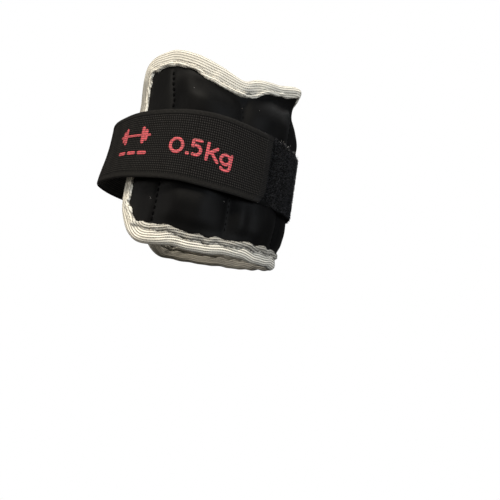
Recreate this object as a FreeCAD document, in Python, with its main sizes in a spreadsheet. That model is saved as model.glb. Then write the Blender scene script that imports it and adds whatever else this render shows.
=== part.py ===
import FreeCAD
import Part
import Sketcher
import math
import os

# Ankle cuff weight, closed as worn. Five shot-filled pockets stand in a ring
# round the ankle, joined at stitched channels. A plain flange ends the pad on
# each side of the heel. An elastic strap is sewn to the medial flange, passes
# behind the heel and is pressed onto a loop tape on the lateral pockets.
# Frame: origin on the axis of the ankle opening, halfway up the pad. +Z up the
# leg, +X to the front of the ankle, -Y to the lateral side. Angles start at +X
# and grow towards +Y. Pieces are drawn from the lower rim up, and each is
# lowered by half the height when it is named.

doc = FreeCAD.newDocument("ankle_cuff_weight")
sheet = doc.addObject("Spreadsheet::Sheet", "Params")

DRIVING = [
    # alias, value, meaning
    ("pad_height", 112.0, "height of the bound pad"),
    ("pocket_angle", 45.0, "angle that one pocket takes round the ring"),
    ("flange_angle", 32.0, "angle that one end flange takes"),
    ("web_radius", 51.0, "radius of the stitched channels"),
    ("cloth", 2.0, "thickness of the cover and of the lining"),
    ("bulge", 4.0, "how far a filled pocket stands out on each side"),
    ("edge_flat", 8.0, "unfilled edge above and below a pocket"),
    ("edge_rise", 8.0, "height over which a pocket swells to full depth"),
    ("end_gap", 1.3, "angle left free beside a channel"),
    ("side_flat", 1.4, "angle of flat cloth beside a channel"),
    ("bag_gap", 0.15, "clearance between cloth and weight bag"),
    ("bag_wall", 0.5, "wall of the weight bag"),
    ("fill_gap", 0.1, "clearance between bag and shot"),
    ("tape_wall", 0.8, "thickness of the edge binding"),
    ("tape_depth", 8.0, "how far the binding reaches in from the edge"),
    ("tape_gap", 1.6, "angle left free at each end of a pocket's binding"),
    ("corner_round", 20.0, "corner radius of the end flanges"),
    ("thread_radius", 0.8, "radius of a channel's lock-stitch column"),
    ("loop_wall", 1.2, "thickness of the loop tape"),
    ("loop_gap", 3.5, "angle left free between loop tape and channel"),
    ("loop_lead", 2.5, "angle of loop tape behind the middle of pocket one"),
    ("hook_wall", 0.9, "thickness of the hook tape"),
    ("hook_gap", 0.1, "gap between hook and loop tapes when closed"),
    ("hook_inset", 1.0, "edge of the strap left free of hook tape"),
    ("strap_wall", 1.6, "thickness of the elastic strap"),
    ("strap_width", 40.0, "width of the strap"),
    ("strap_low", 36.0, "height of the strap's lower edge"),
    ("tab_start", 96.0, "lateral angle where the hook-backed tab starts"),
    ("tab_end", 49.0, "lateral angle where the strap ends"),
    ("side_start", 143.0, "lateral angle where the strap meets the flange"),
    ("anchor_start", 118.0, "medial angle where the sewn end of the strap starts"),
    ("anchor_end", 142.0, "medial angle where the sewn end of the strap stops"),
    ("seam_wall", 0.35, "height of a sewn seam above the strap"),
    ("seam_line", 1.0, "width of a sewn seam"),
    ("band_wall", 0.5, "height of the folded end band above the strap"),
    ("band_angle", 5.5, "angle that the folded end band takes"),
    ("back_a", 56.6, "strap radius at 155 degrees"),
    ("back_b", 59.2, "strap radius at 167 degrees"),
    ("back_c", 61.4, "strap radius at 180 degrees"),
    ("back_d", 62.2, "strap radius at 192 degrees"),
    ("back_e", 61.4, "strap radius at 205 degrees"),
]
for row, (alias, value, meaning) in enumerate(DRIVING, start=1):
    sheet.set("A%d" % row, meaning)
    sheet.set("B%d" % row, repr(value))
    sheet.setAlias("B%d" % row, alias)
doc.recompute()


# ---- dimensions that carry their expression ---------------------------------
class Dim:
    """A number together with the spreadsheet expression that gives it."""

    def __init__(self, number, formula):
        self.number = number
        self.formula = formula

    @staticmethod
    def of(source):
        if isinstance(source, Dim):
            return source
        return Dim(float(source), "(%r)" % float(source))

    def __add__(self, other):
        other = Dim.of(other)
        return Dim(self.number + other.number, "(%s + %s)" % (self.formula, other.formula))

    def __sub__(self, other):
        other = Dim.of(other)
        return Dim(self.number - other.number, "(%s - %s)" % (self.formula, other.formula))

    def __mul__(self, other):
        other = Dim.of(other)
        return Dim(self.number * other.number, "(%s * %s)" % (self.formula, other.formula))

    def __truediv__(self, other):
        other = Dim.of(other)
        return Dim(self.number / other.number, "(%s / %s)" % (self.formula, other.formula))

    def __rsub__(self, other):
        return Dim.of(other) - self

    def __neg__(self):
        return 0.0 - self


SIZE = {alias: Dim(value, "Params.%s" % alias) for alias, value, _ in DRIVING}
DEGREES_PER_RADIAN = 180.0 / math.pi


def polar(radius, angle):
    radius, angle = Dim.of(radius), Dim.of(angle)
    turned = math.radians(angle.number)
    return (
        radius * Dim(math.cos(turned), "cos(%s)" % angle.formula),
        radius * Dim(math.sin(turned), "sin(%s)" % angle.formula),
    )


def arc_length(radius, angle):
    return radius * angle / DEGREES_PER_RADIAN


def arc_angle(radius, length):
    return length / radius * DEGREES_PER_RADIAN


def arc_point(radius, length):
    """The point at a radius, a length of arc away from angle 0."""
    return polar(radius, arc_angle(radius, length))


def mirrored(points):
    """The points, then their reflections in the X axis in reverse order."""
    return points + [(x, -y) for x, y in reversed(points)]


# ---- modelling helpers ------------------------------------------------------
def bind(obj, prop, dim):
    obj.setExpression(prop, Dim.of(dim).formula)


def set_size(obj, prop, dim):
    setattr(obj, prop, Dim.of(dim).number)
    bind(obj, prop, dim)


def set_z(obj, z):
    obj.Placement.Base.z = Dim.of(z).number
    bind(obj, "Placement.Base.z", z)


def turn(obj, angle):
    """Turns a piece about the ring's axis."""
    obj.Placement = FreeCAD.Placement(
        FreeCAD.Vector(0, 0, 0),
        FreeCAD.Rotation(FreeCAD.Vector(0, 0, 1), Dim.of(angle).number),
    )
    bind(obj, "Placement.Rotation.Angle", angle)


def polygon(body, name, role, points):
    """A closed, fully dimensioned polygon sketch on one of the body's planes."""
    sketch = body.newObject("Sketcher::SketchObject", name)
    plane = next(f for f in body.Origin.OriginFeatures if f.Role == role)
    sketch.AttachmentSupport = [(plane, "")]
    sketch.MapMode = "FlatFace"
    points = [(Dim.of(x), Dim.of(y)) for x, y in points]
    count = len(points)
    corners = [FreeCAD.Vector(x.number, y.number, 0) for x, y in points]
    for i in range(count):
        sketch.addGeometry(Part.LineSegment(corners[i], corners[(i + 1) % count]), False)
    for i in range(count):
        sketch.addConstraint(Sketcher.Constraint("Coincident", i, 2, (i + 1) % count, 1))
    for i, (x, y) in enumerate(points):
        # A zero coordinate puts the corner on the axis: -2 is vertical, -1 horizontal.
        for kind, axis, dim in (("DistanceX", -2, x), ("DistanceY", -1, y)):
            if dim.number == 0.0:
                sketch.addConstraint(Sketcher.Constraint("PointOnObject", i, 1, axis))
                continue
            index = sketch.addConstraint(Sketcher.Constraint(kind, -1, 1, i, 1, dim.number))
            sketch.setExpression("Constraints[%d]" % index, dim.formula)
    return sketch


def revolved(name, points, angle):
    """A profile in the radial plane, swept symmetrically about the ring's axis."""
    body = doc.addObject("PartDesign::Body", name)
    sketch = polygon(body, name + "_profile", "XZ_Plane", points)
    sweep = body.newObject("PartDesign::Revolution", name + "_sweep")
    sweep.Profile = sketch
    sweep.ReferenceAxis = (sketch, ["V_Axis"])
    set_size(sweep, "Angle", angle)
    sweep.Midplane = True
    body.Tip = sweep
    return body


def padded(name, points, length):
    """A plan profile raised along the ring's axis."""
    body = doc.addObject("PartDesign::Body", name)
    sketch = polygon(body, name + "_profile", "XY_Plane", points)
    pad = body.newObject("PartDesign::Pad", name + "_pad")
    pad.Profile = sketch
    set_size(pad, "Length", length)
    body.Tip = pad
    return body


def cut(name, base, tool):
    result = doc.addObject("Part::Cut", name)
    result.Base = base
    result.Tool = tool
    return result


def common(name, base, tool):
    result = doc.addObject("Part::Common", name)
    result.Base = base
    result.Tool = tool
    return result


def compound(name, links):
    result = doc.addObject("Part::Compound", name)
    result.Links = links
    return result


def cylinder(name, radius, height, angle, z):
    result = doc.addObject("Part::Cylinder", name)
    set_size(result, "Radius", radius)
    set_size(result, "Height", height)
    set_size(result, "Angle", angle)
    set_z(result, z)
    return result


def sector(name, radii, heights, angles):
    """Part of a tube. Each range is a pair (from, to)."""
    inner_radius, outer_radius = radii
    low, high = heights
    start, end = angles
    outer = cylinder(name + "_outer", outer_radius, high - low, end - start, low)
    inner = cylinder(name + "_inner", inner_radius, high - low, end - start, low)
    result = cut(name, outer, inner)
    turn(result, start)
    return result


PIECES = {}


def piece(obj, z=0.0):
    """Lists a finished piece, drawn from height z, and lowers it by half the pad."""
    PIECES[obj.Label] = obj
    set_z(obj, Dim.of(z) - height / 2)
    return obj


# ---- shared places ----------------------------------------------------------
LAID_GAP = 0.02  # gap between pieces that lie on one another
TAPE_CLEARANCE = 0.05  # between the cloth and its edge binding

height = SIZE["pad_height"]
web = SIZE["web_radius"]
cloth = SIZE["cloth"]
pitch = SIZE["pocket_angle"]
half = pitch / 2
bulge = SIZE["bulge"]
crown = web + cloth + bulge
tape_wall, tape_depth = SIZE["tape_wall"], SIZE["tape_depth"]
tape_inside = cloth + TAPE_CLEARANCE  # from the web radius to the binding's inner face
tape_outside = tape_inside + tape_wall
cloth_low = tape_wall + TAPE_CLEARANCE  # the cloth stops short of the tape's fold

# ---- filled pockets ---------------------------------------------------------
CAVITY_EDGE = 1.0  # height from the start of the cover's swell to the cavity's edge
CAVITY_SIDE = 0.5  # angle from the end of the flat cloth to the cavity's side
# Shift of a cavity corner for each unit that the cavity is taken in. The swell
# rises 2 for each 1 outwards, and the sides slope at 45 degrees.
TIP_SHIFT = 2.236
SHOULDER_SHIFT = 0.236
SIDE_SHIFT = 1.414
TRIM_REACH = 80.0  # plan size of the block that trims the cloth, beyond the pad

swell_low = SIZE["edge_flat"]
swell_high = swell_low + SIZE["edge_rise"]
web_end = half - SIZE["end_gap"]
flat_end = web_end - SIZE["side_flat"]
slope_reach = bulge * 2


def pocket_profile(side):
    """Radial profile of the cover (side 1) or the lining (side -1)."""
    face = web + cloth * side
    swollen = web + (cloth + bulge) * side
    return [
        (web, 0.0), (face, 0.0), (face, swell_low), (swollen, swell_high),
        (swollen, height - swell_high), (face, height - swell_low), (face, height), (web, height),
    ]


def pocket_outline():
    """Plan: flat web beside each channel, then a 45 degree slope up to the crown."""
    def slope_top(side):
        radius = web + cloth * side
        return arc_point(radius + slope_reach * side, arc_length(radius, flat_end) - slope_reach)

    return mirrored([
        slope_top(-1.0),
        polar(web - cloth, flat_end),
        polar(web - cloth, half),
        polar(web + cloth, half),
        polar(web + cloth, flat_end),
        slope_top(1.0),
    ])


def cavity(name, inset):
    """Sweep and plan whose common part is a pocket's space, taken in by inset."""
    inset = Dim.of(inset)
    depth = bulge - inset
    low = swell_low + CAVITY_EDGE + inset * TIP_SHIFT
    shoulder = swell_high + CAVITY_EDGE + inset * SHOULDER_SHIFT
    sweep = revolved(
        name + "_sweep",
        [
            (web, low), (web + depth, shoulder), (web + depth, height - shoulder),
            (web, height - low), (web - depth, height - shoulder), (web - depth, shoulder),
        ],
        pitch,
    )
    side = arc_length(web, flat_end - CAVITY_SIDE) - inset * SIDE_SHIFT
    corners = [
        arc_point(web - slope_reach, side - slope_reach),
        arc_point(web, side),
        arc_point(web + slope_reach, side - slope_reach),
    ]
    return sweep, padded(name + "_plan", mirrored(corners), height)


def binding_sweep(name, edge, sense):
    """A U of tape folded over an edge: sense is 1 for the top and -1 for the bottom."""
    edge = Dim.of(edge)
    fold = edge - tape_wall * sense
    rim = edge - tape_depth * sense
    profile = [
        (web - tape_outside, edge), (web + tape_outside, edge), (web + tape_outside, rim),
        (web + tape_inside, rim), (web + tape_inside, fold), (web - tape_inside, fold),
        (web - tape_inside, rim), (web - tape_outside, rim),
    ]
    return revolved(name, profile, (half - SIZE["tape_gap"]) * 2)


def make_pockets():
    cover_sweep = revolved("cover_sweep", pocket_profile(1.0), web_end * 2)
    lining_sweep = revolved("lining_sweep", pocket_profile(-1.0), web_end * 2)
    outline = padded("pocket_outline", pocket_outline(), height)

    bag_inset = SIZE["bag_gap"]
    hollow_inset = bag_inset + SIZE["bag_wall"]
    space = common("pocket_space", *cavity("pocket_cavity", 0.0))
    bag_outer = common("bag_outer", *cavity("bag_shell", bag_inset))
    bag_inner = common("bag_inner", *cavity("bag_hollow", hollow_inset))
    fill_sweep, fill_plan = cavity("fill", hollow_inset + SIZE["fill_gap"])

    cover_block = common("cover_block", cover_sweep, outline)
    lining_block = common("lining_block", lining_sweep, outline)
    trim = padded(
        "cloth_trim",
        [(0.0, -TRIM_REACH), (TRIM_REACH, -TRIM_REACH), (TRIM_REACH, TRIM_REACH),
         (0.0, TRIM_REACH)],
        height - cloth_low * 2,
    )
    set_z(trim, cloth_low)
    cover = cut("cover_hollowed", cover_block, space)
    lining = cut("lining_hollowed", lining_block, space)
    tapes = [
        binding_sweep("tape_top_sweep", height, 1.0),
        binding_sweep("tape_low_sweep", 0.0, -1.0),
    ]

    # Pocket 1 is lateral and rearmost, 3 is at the front, 5 is medial and rearmost.
    for k in range(1, 6):
        for part in (
            common("cover_panel_%d" % k, cover, trim),
            common("lining_panel_%d" % k, lining, trim),
            cut("weight_bag_%d" % k, bag_outer, bag_inner),
            common("shot_fill_%d" % k, fill_sweep, fill_plan),
            compound("edge_binding_%d" % k, tapes),
        ):
            turn(piece(part), pitch * (k - 3))


# ---- channel stitching ------------------------------------------------------
STITCH_MARGIN = 1.0  # height between a stitch column and the edge binding


def make_channel_stitching():
    """A lock-stitch column at each channel, which the pad folds about."""
    start = tape_depth + STITCH_MARGIN
    for i in range(1, 7):
        column = cylinder("channel_stitching_%d" % i, SIZE["thread_radius"],
                          height - start * 2, 360.0, 0.0)
        x, y = polar(web, pitch * (i - 3.5))
        column.Placement.Base = FreeCAD.Vector(x.number, y.number, 0.0)
        bind(column, "Placement.Base.x", x)
        bind(column, "Placement.Base.y", y)
        piece(column, start)


# ---- end flanges ------------------------------------------------------------
# Plain double cloth beyond the last channel, with rounded outer corners. Built
# at angle 0 with the free end towards +Y, then turned into place.
PLATE_START = -40.0  # Y where a plate starts, clear of the flange's near end
PLATE_REACH = 70.0  # X that a plate reaches, beyond the cloth

flange_angle = SIZE["flange_angle"]
flange_near = flange_angle / 2 - SIZE["end_gap"]


def rounded_plate(name, inset):
    """The flange's outline seen along its radius, taken in by inset, as a plate."""
    inset = Dim.of(inset)
    free_end = arc_length(web, flange_angle / 2) - inset
    low, high = inset, height - inset
    body = doc.addObject("PartDesign::Body", name)
    sketch = polygon(
        body, name + "_outline", "YZ_Plane",
        [(PLATE_START, low), (free_end, low), (free_end, high), (PLATE_START, high)],
    )
    pad = body.newObject("PartDesign::Pad", name + "_pad")
    pad.Profile = sketch
    pad.Length = PLATE_REACH
    body.Tip = pad
    doc.recompute()

    # The edges that run along X at the free end.
    corners = []
    for i, edge in enumerate(pad.Shape.Edges, start=1):
        first, last = edge.Vertexes[0].Point, edge.Vertexes[-1].Point
        at_end = all(abs(point.y - free_end.number) < 1e-6 for point in (first, last))
        if at_end and abs(first.x - last.x) > 1.0:
            corners.append("Edge%d" % i)
    fillet = body.newObject("PartDesign::Fillet", name + "_round")
    fillet.Base = (pad, corners)
    set_size(fillet, "Radius", SIZE["corner_round"] - inset)
    body.Tip = fillet
    return body


def flange_shell(name, inner, outer):
    """Tube part from beside the channel to beyond the flange's free end."""
    return sector(name, (inner, outer), (0.0, height), (-flange_near, flange_angle))


def make_flanges():
    outline = rounded_plate("flange_outline", 0.0)
    cloth_plate = rounded_plate("flange_cloth", cloth_low)
    inside = rounded_plate("flange_inside", tape_depth)

    cover_shell = flange_shell("flange_cover_shell", web, web + cloth)
    lining_shell = flange_shell("flange_lining_shell", web - cloth, web)
    tape_shell = flange_shell("flange_tape_shell", web - tape_outside, web + tape_outside)
    slot_shell = flange_shell("flange_slot_shell", web - tape_inside, web + tape_inside)

    cover = common("flange_cover", cover_shell, cloth_plate)
    lining = common("flange_lining", lining_shell, cloth_plate)
    tape_plate = common("flange_tape_plate", tape_shell, outline)
    tape_window = cut("flange_tape_window", tape_plate, inside)
    tape_slot = common("flange_tape_slot", slot_shell, rounded_plate("flange_slot", tape_wall))
    binding = cut("flange_tape", tape_window, tape_slot)

    for part, source in (("cover", cover), ("lining", lining), ("binding", binding)):
        medial = compound("medial_flange_%s" % part, [source])
        turn(medial, pitch * 2.5 + flange_angle / 2)
        piece(medial)
        # The lateral flange is the medial one mirrored, so it is already lowered.
        lateral = doc.addObject("Part::Mirroring", "lateral_flange_%s" % part)
        lateral.Source = medial
        lateral.Base = FreeCAD.Vector(0, 0, 0)
        lateral.Normal = FreeCAD.Vector(0, 1, 0)
        PIECES[lateral.Label] = lateral


# ---- loop tape --------------------------------------------------------------
strap_low = SIZE["strap_low"]
strap_high = strap_low + SIZE["strap_width"]
loop_outer = crown + SIZE["loop_wall"]


def make_loop_tapes():
    """Sewn along the strap's path over pockets 1 to 4, free to bend at the channels."""
    reach = half - SIZE["loop_gap"]
    for k in range(1, 5):
        middle = pitch * (k - 3)
        start = middle - (SIZE["loop_lead"] if k == 1 else reach)
        piece(sector("loop_tape_%d" % k, (crown + LAID_GAP, loop_outer),
                     (strap_low, strap_high), (start, middle + reach)))


# ---- strap ------------------------------------------------------------------
SPLIT = 0.25  # angle from a joint between strap lengths to each length's end
HOOK_START_INSET = 1.5  # angle from the tab's start to the hook tape
HOOK_END_INSET = 1.0  # angle from the tab's end to the hook tape
ANCHOR_CLEARANCE = 0.05  # between the sewn end and the flange's binding
ANCHOR_OVERLAP = 0.5  # how far the sewn end's two layers run into each other
ANCHOR_STEP = 9.5  # angle of the sewn end that lies on the binding alone
BACK_GAP = 0.6  # angle between the sewn end and the span behind the heel
HEEL = 180.0  # angle where the two lengths of that span meet

strap_wall = SIZE["strap_wall"]
hook_inner = loop_outer + SIZE["hook_gap"]
strap_inner = hook_inner + SIZE["hook_wall"]
strap_outer = strap_inner + strap_wall
anchor_inner = web + tape_outside + ANCHOR_CLEARANCE
anchor_outer = anchor_inner + strap_wall
anchor_start, anchor_end = SIZE["anchor_start"], SIZE["anchor_end"]
# The tab and the side length are lateral, so their angles are negative.
side_start, tab_start, tab_end = -SIZE["side_start"], -SIZE["tab_start"], -SIZE["tab_end"]

# The span behind the heel leaves the medial flange at the sewn end's radius and
# swings out to the strap's radius on the lateral side.
# Stations: angle, radius of the strap's middle.
BACK_MEDIAL = [
    (anchor_end + BACK_GAP, anchor_inner + strap_wall / 2),
    (155.0, SIZE["back_a"]),
    (167.0, SIZE["back_b"]),
    (HEEL - SPLIT, SIZE["back_c"]),
]
BACK_LATERAL = [
    (HEEL + SPLIT, SIZE["back_c"]),
    (192.0, SIZE["back_d"]),
    (205.0, SIZE["back_e"]),
    (side_start + 360.0 - SPLIT, (strap_inner + strap_outer) / 2),
]


def make_lateral_strap():
    """The tab, its hook tape, and the length beside the lateral flange."""
    radii = (strap_inner, strap_outer)
    heights = (strap_low, strap_high)
    piece(sector("strap_tab", radii, heights, (tab_start + SPLIT, tab_end)))
    piece(sector("strap_side", radii, heights, (side_start + SPLIT, tab_start - SPLIT)))
    inset = SIZE["hook_inset"]
    piece(sector("hook_tape", (hook_inner, strap_inner - LAID_GAP),
                 (strap_low + inset, strap_high - inset),
                 (tab_start + HOOK_START_INSET, tab_end - HOOK_END_INSET)))


def make_strap_anchor():
    """The sewn end lies on the flange's cloth and steps up over its bound edge."""
    heights = (strap_low, strap_high)
    anchor = doc.addObject("Part::MultiFuse", "strap_anchor")
    anchor.Shapes = [
        sector("anchor_on_tape", (anchor_inner, anchor_outer), heights,
               (anchor_start, anchor_end)),
        sector("anchor_on_cloth", (web + cloth + LAID_GAP, anchor_inner + ANCHOR_OVERLAP),
               heights, (anchor_start, anchor_end - ANCHOR_STEP)),
    ]
    anchor.Refine = True
    piece(anchor)


def make_back_strip(name, stations):
    """A band of even thickness whose middle runs through the stations."""
    offset = strap_wall / 2
    outer = [polar(radius + offset, angle) for angle, radius in stations]
    inner = [polar(radius - offset, angle) for angle, radius in stations]
    piece(padded(name, inner + outer[::-1], SIZE["strap_width"]), strap_low)


# ---- sewn seams and end band on the strap -----------------------------------
WINDOW_REACH = 1.0  # how far a seam's window cutter stands above the seam


def make_seam(name, face, edge_inset, start, end):
    """A rectangular frame of stitching standing on a strap face of radius face."""
    line = SIZE["seam_line"]
    top = face + SIZE["seam_wall"]
    low, high = strap_low + edge_inset, strap_high - edge_inset
    step = arc_angle(face, line)
    plate = sector(name + "_plate", (face + LAID_GAP, top), (low, high), (start, end))
    window = sector(name + "_window", (face, top + WINDOW_REACH),
                    (low + line, high - line), (start + step, end - step))
    piece(cut(name, plate, window))


def make_strap_trim():
    band_start = tab_end - SIZE["band_angle"]
    make_seam("anchor_seam", anchor_outer, edge_inset=3.0,
              start=anchor_start + 2.0, end=anchor_end - 2.5)
    make_seam("hook_tape_seam", strap_outer, edge_inset=2.0,
              start=tab_start + 2.5, end=band_start - 1.0)
    piece(sector("tab_end_band", (strap_outer + LAID_GAP, strap_outer + SIZE["band_wall"]),
                 (strap_low, strap_high), (band_start, tab_end)))


# ---- build and export -------------------------------------------------------
make_pockets()
make_channel_stitching()
make_flanges()
make_loop_tapes()
make_lateral_strap()
make_strap_anchor()
make_back_strip("strap_back_medial", BACK_MEDIAL)
make_back_strip("strap_back_lateral", BACK_LATERAL)
make_strap_trim()
doc.recompute()

for obj in doc.Objects:
    if "Invalid" in obj.State or "Error" in obj.State:
        raise RuntimeError("%s did not build: %s" % (obj.Name, obj.State))

os.makedirs("parts", exist_ok=True)
for label, obj in sorted(PIECES.items()):
    shape = obj.Shape
    if shape.isNull() or not shape.isValid() or not shape.Solids:
        raise RuntimeError("%s has no valid shape" % label)
    shape.exportStep("parts/%s.step" % label)
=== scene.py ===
"""A 0.5 kg ankle weight: a ring of five shot-filled pockets with bound edges and an elastic strap.

The ring stands round the Z axis and is open at the back. Angle 0, the front, is +X; negative
angles run to the lateral side at -Y, positive ones to the medial side at +Y. The origin lies on
the axis, ORIGIN_Z above the lower rim. The strap is sewn to the medial end, passes round the
back (-X) and closes over the lateral front.
Lengths are in mm and angles in degrees until a mesh is written; z counts from the lower rim.
"""

import math

import bpy
import numpy as np
from mathutils import Matrix, Vector


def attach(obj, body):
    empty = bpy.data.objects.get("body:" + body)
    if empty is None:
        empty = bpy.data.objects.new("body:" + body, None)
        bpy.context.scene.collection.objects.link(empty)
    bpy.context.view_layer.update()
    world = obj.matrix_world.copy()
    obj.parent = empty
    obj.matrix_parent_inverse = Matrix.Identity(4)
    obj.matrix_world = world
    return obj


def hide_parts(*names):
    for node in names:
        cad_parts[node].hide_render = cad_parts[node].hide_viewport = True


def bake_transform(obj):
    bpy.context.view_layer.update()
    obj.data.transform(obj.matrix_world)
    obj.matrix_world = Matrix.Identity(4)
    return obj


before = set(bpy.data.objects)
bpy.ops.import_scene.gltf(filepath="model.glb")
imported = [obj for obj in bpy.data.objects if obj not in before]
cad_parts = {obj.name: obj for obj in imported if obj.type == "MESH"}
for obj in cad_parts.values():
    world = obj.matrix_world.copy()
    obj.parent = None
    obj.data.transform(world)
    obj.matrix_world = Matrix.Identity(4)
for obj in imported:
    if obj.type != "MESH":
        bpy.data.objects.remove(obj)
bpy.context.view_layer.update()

MM = 0.001
RING_R = 51.0  # middle surface of the pad
ORIGIN_Z = 56.0
DEG_MM = math.radians(1.0) * RING_R  # mm of cloth per degree
POCKET_HALF = 22.5
POCKETS = [2 * POCKET_HALF * k - 90.0 for k in range(5)]
CHANNELS = [centre + POCKET_HALF for centre in POCKETS[:-1]]
STITCH_LINE = 112.5  # seams that close the two outer pockets
SHEET_HALF = 2.0  # half the pad's thickness where it is flat
TAPE_FACE = 10.6  # how far the binding covers the face
TAPE_RIB = 1.35
STRAP_HALF = 20.0
STRAP_FACE = 0.80  # half the strap's thickness
STRAP_RIB, STRAP_ROW = 1.18, 1.32  # weave pitches along and across the strap

# name, first angle, last angle, pockets it rides on
ZONES = [
    ("lateral_end", -160, -90, (1,)),
    ("front_lateral", -90, -45, (1, 2)),
    ("front", -45, 0, (2, 3)),
    ("front_inner", 0, 45, (3, 4)),
    ("front_medial", 45, 90, (4, 5)),
    ("medial_end", 90, 160, (5,)),
]
# number of the CAD panel that each zone takes over
PANELS = {"lateral_end": 1, "front_lateral": 2, "front": 3, "front_medial": 4, "medial_end": 5}


# ---------------------------------------------------------------- curves and noise
def ease(start, end, x):
    """0 at start, 1 at end, smooth between; start may be the larger."""
    part = np.clip((np.asarray(x, float) - start) / (end - start), 0, 1)
    return part * part * (3 - 2 * part)


def bell(x, centre, width):
    return np.exp(-(((np.asarray(x, float) - centre) / width) ** 2))


class Ripple:
    """A smooth repeatable random field made of plane waves; wavelengths in mm."""

    COUNT = 14

    def __init__(self, seed, shortest, longest):
        rng = np.random.default_rng(seed)
        length = np.exp(rng.uniform(np.log(shortest), np.log(longest), self.COUNT))
        heading = rng.uniform(0, 2 * np.pi, self.COUNT)
        along_x = 2 * np.pi / length * np.cos(heading)
        along_y = 2 * np.pi / length * np.sin(heading)
        self.waves = list(zip(along_x, along_y, rng.uniform(0, 2 * np.pi, self.COUNT)))

    def __call__(self, x, y=0.0):
        x, y = np.broadcast_arrays(np.asarray(x, float), np.asarray(y, float))
        out = np.zeros(x.shape)
        for along_x, along_y, phase in self.waves:
            out += np.sin(along_x * x + along_y * y + phase)
        return out / math.sqrt(self.COUNT / 2)


def gauss(reach, sigma):
    kernel = np.exp(-0.5 * (np.arange(-reach, reach + 1) / sigma) ** 2)
    return kernel / kernel.sum()


def smooth_table(stations, sigma, step=0.25):
    """A function through (position, value) stations, softened by sigma."""
    positions, values = zip(*stations)
    x = np.arange(positions[0], positions[-1] + step, step)
    reach = int(4 * sigma / step)
    padded = np.pad(np.interp(x, positions, values), reach, mode="edge")
    y = np.convolve(padded, gauss(reach, sigma / step), mode="valid")
    return lambda position: np.interp(position, x, y)


def smooth_loop(pairs, reach, sigma):
    """Softens a closed run of pairs; reach and sigma are in samples."""
    wrapped = np.concatenate([pairs[-reach:], pairs, pairs[:reach]])
    kernel = gauss(reach, sigma)
    return np.stack([np.convolve(wrapped[:, i], kernel, mode="valid") for i in (0, 1)], 1)


def distances(points):
    """Length along a polyline at each of its points."""
    return np.concatenate([[0], np.cumsum(np.linalg.norm(np.diff(points, axis=0), axis=1))])


def interp_pairs(at, along, pairs):
    return np.stack([np.interp(at, along, pairs[:, i]) for i in (0, 1)], 1)


def xyz(angle, z, radius):
    turn = np.radians(angle)
    return np.stack([radius * np.cos(turn), radius * np.sin(turn), z + 0 * radius], -1)


# ---------------------------------------------------------------- meshes
def write_mesh(name, points, faces, uv, mat, sharp=None, painted_shade=None):
    """points (n, 3) and uv (n, 2) in mm; faces a list of index arrays; sharp edges as pairs."""
    mesh = bpy.data.meshes.new(name)
    loops = np.concatenate([block.ravel() for block in faces]).astype(np.int32)
    totals = np.concatenate([np.full(len(block), block.shape[1]) for block in faces])
    totals = totals.astype(np.int32)
    starts = np.concatenate([[0], np.cumsum(totals)[:-1]]).astype(np.int32)
    placed = ((np.asarray(points) - [0, 0, ORIGIN_Z]) * MM).astype(np.float32)
    mesh.vertices.add(len(points))
    mesh.vertices.foreach_set("co", placed.ravel())
    mesh.loops.add(len(loops))
    mesh.loops.foreach_set("vertex_index", loops)
    mesh.polygons.add(len(totals))
    mesh.polygons.foreach_set("loop_start", starts)
    mesh.polygons.foreach_set("loop_total", totals)
    mesh.polygons.foreach_set("use_smooth", np.full(len(totals), True))
    layer = mesh.uv_layers.new(name="UVMap")
    layer.data.foreach_set("uv", np.asarray(uv, np.float32)[loops].ravel())
    # per-vertex amount of painted shade and shadow, read by the tape's material
    if painted_shade is not None:
        shade_layer = mesh.attributes.new("painted_shade", "FLOAT", "POINT")
        shade_layer.data.foreach_set("value", np.asarray(painted_shade, np.float32).ravel())
    mesh.update(calc_edges=True)
    if sharp is not None:
        ends = np.zeros(len(mesh.edges) * 2, np.int64)
        mesh.edges.foreach_get("vertices", ends)
        ends = np.sort(ends.reshape(-1, 2), 1)
        sharp = np.sort(sharp, 1)
        flags = np.isin(ends @ [len(points), 1], sharp @ [len(points), 1])
        mesh.edges.foreach_set("use_edge_sharp", flags)
    mesh.validate()
    obj = bpy.data.objects.new(name, mesh)
    bpy.context.scene.collection.objects.link(obj)
    mesh.materials.append(mat)
    return obj


def sheet_faces(rows, cols):
    """Quads of a closed sheet whose back grid follows its front grid, and its rim's edges."""
    corner = (np.arange(rows - 1)[:, None] * cols + np.arange(cols - 1)).ravel()
    front = np.stack([corner, corner + cols, corner + cols + 1, corner + 1], 1)
    count = rows * cols
    ring = np.concatenate(
        [
            np.arange(rows) * cols,
            (rows - 1) * cols + np.arange(1, cols),
            (rows - 2 - np.arange(rows - 1)) * cols + cols - 1,
            np.arange(cols - 2, 0, -1),
        ]
    )
    after = np.roll(ring, -1)
    rim = np.stack([ring, ring + count, after + count, after], 1)
    return np.concatenate([front, front[:, ::-1] + count, rim]), np.stack([ring, after], 1)


def plate(name, outer, inner, uv, mat):
    """A closed sheet from two grids of points (rows, cols, 3). The rims are sharp."""
    rows, cols = outer.shape[:2]
    points = np.concatenate([outer.reshape(-1, 3), inner.reshape(-1, 3)])
    faces, rim = sheet_faces(rows, cols)
    sharp = np.concatenate([rim, rim + rows * cols])
    return write_mesh(name, points, [faces], np.concatenate([uv.reshape(-1, 2)] * 2), mat, sharp)


def tube_faces(rows, sides):
    i, j = np.meshgrid(np.arange(rows - 1), np.arange(sides), indexing="ij")
    k = (j + 1) % sides
    low, high = i * sides, (i + 1) * sides
    return np.stack([low + j, low + k, high + k, high + j], -1).reshape(-1, 4)


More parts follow.
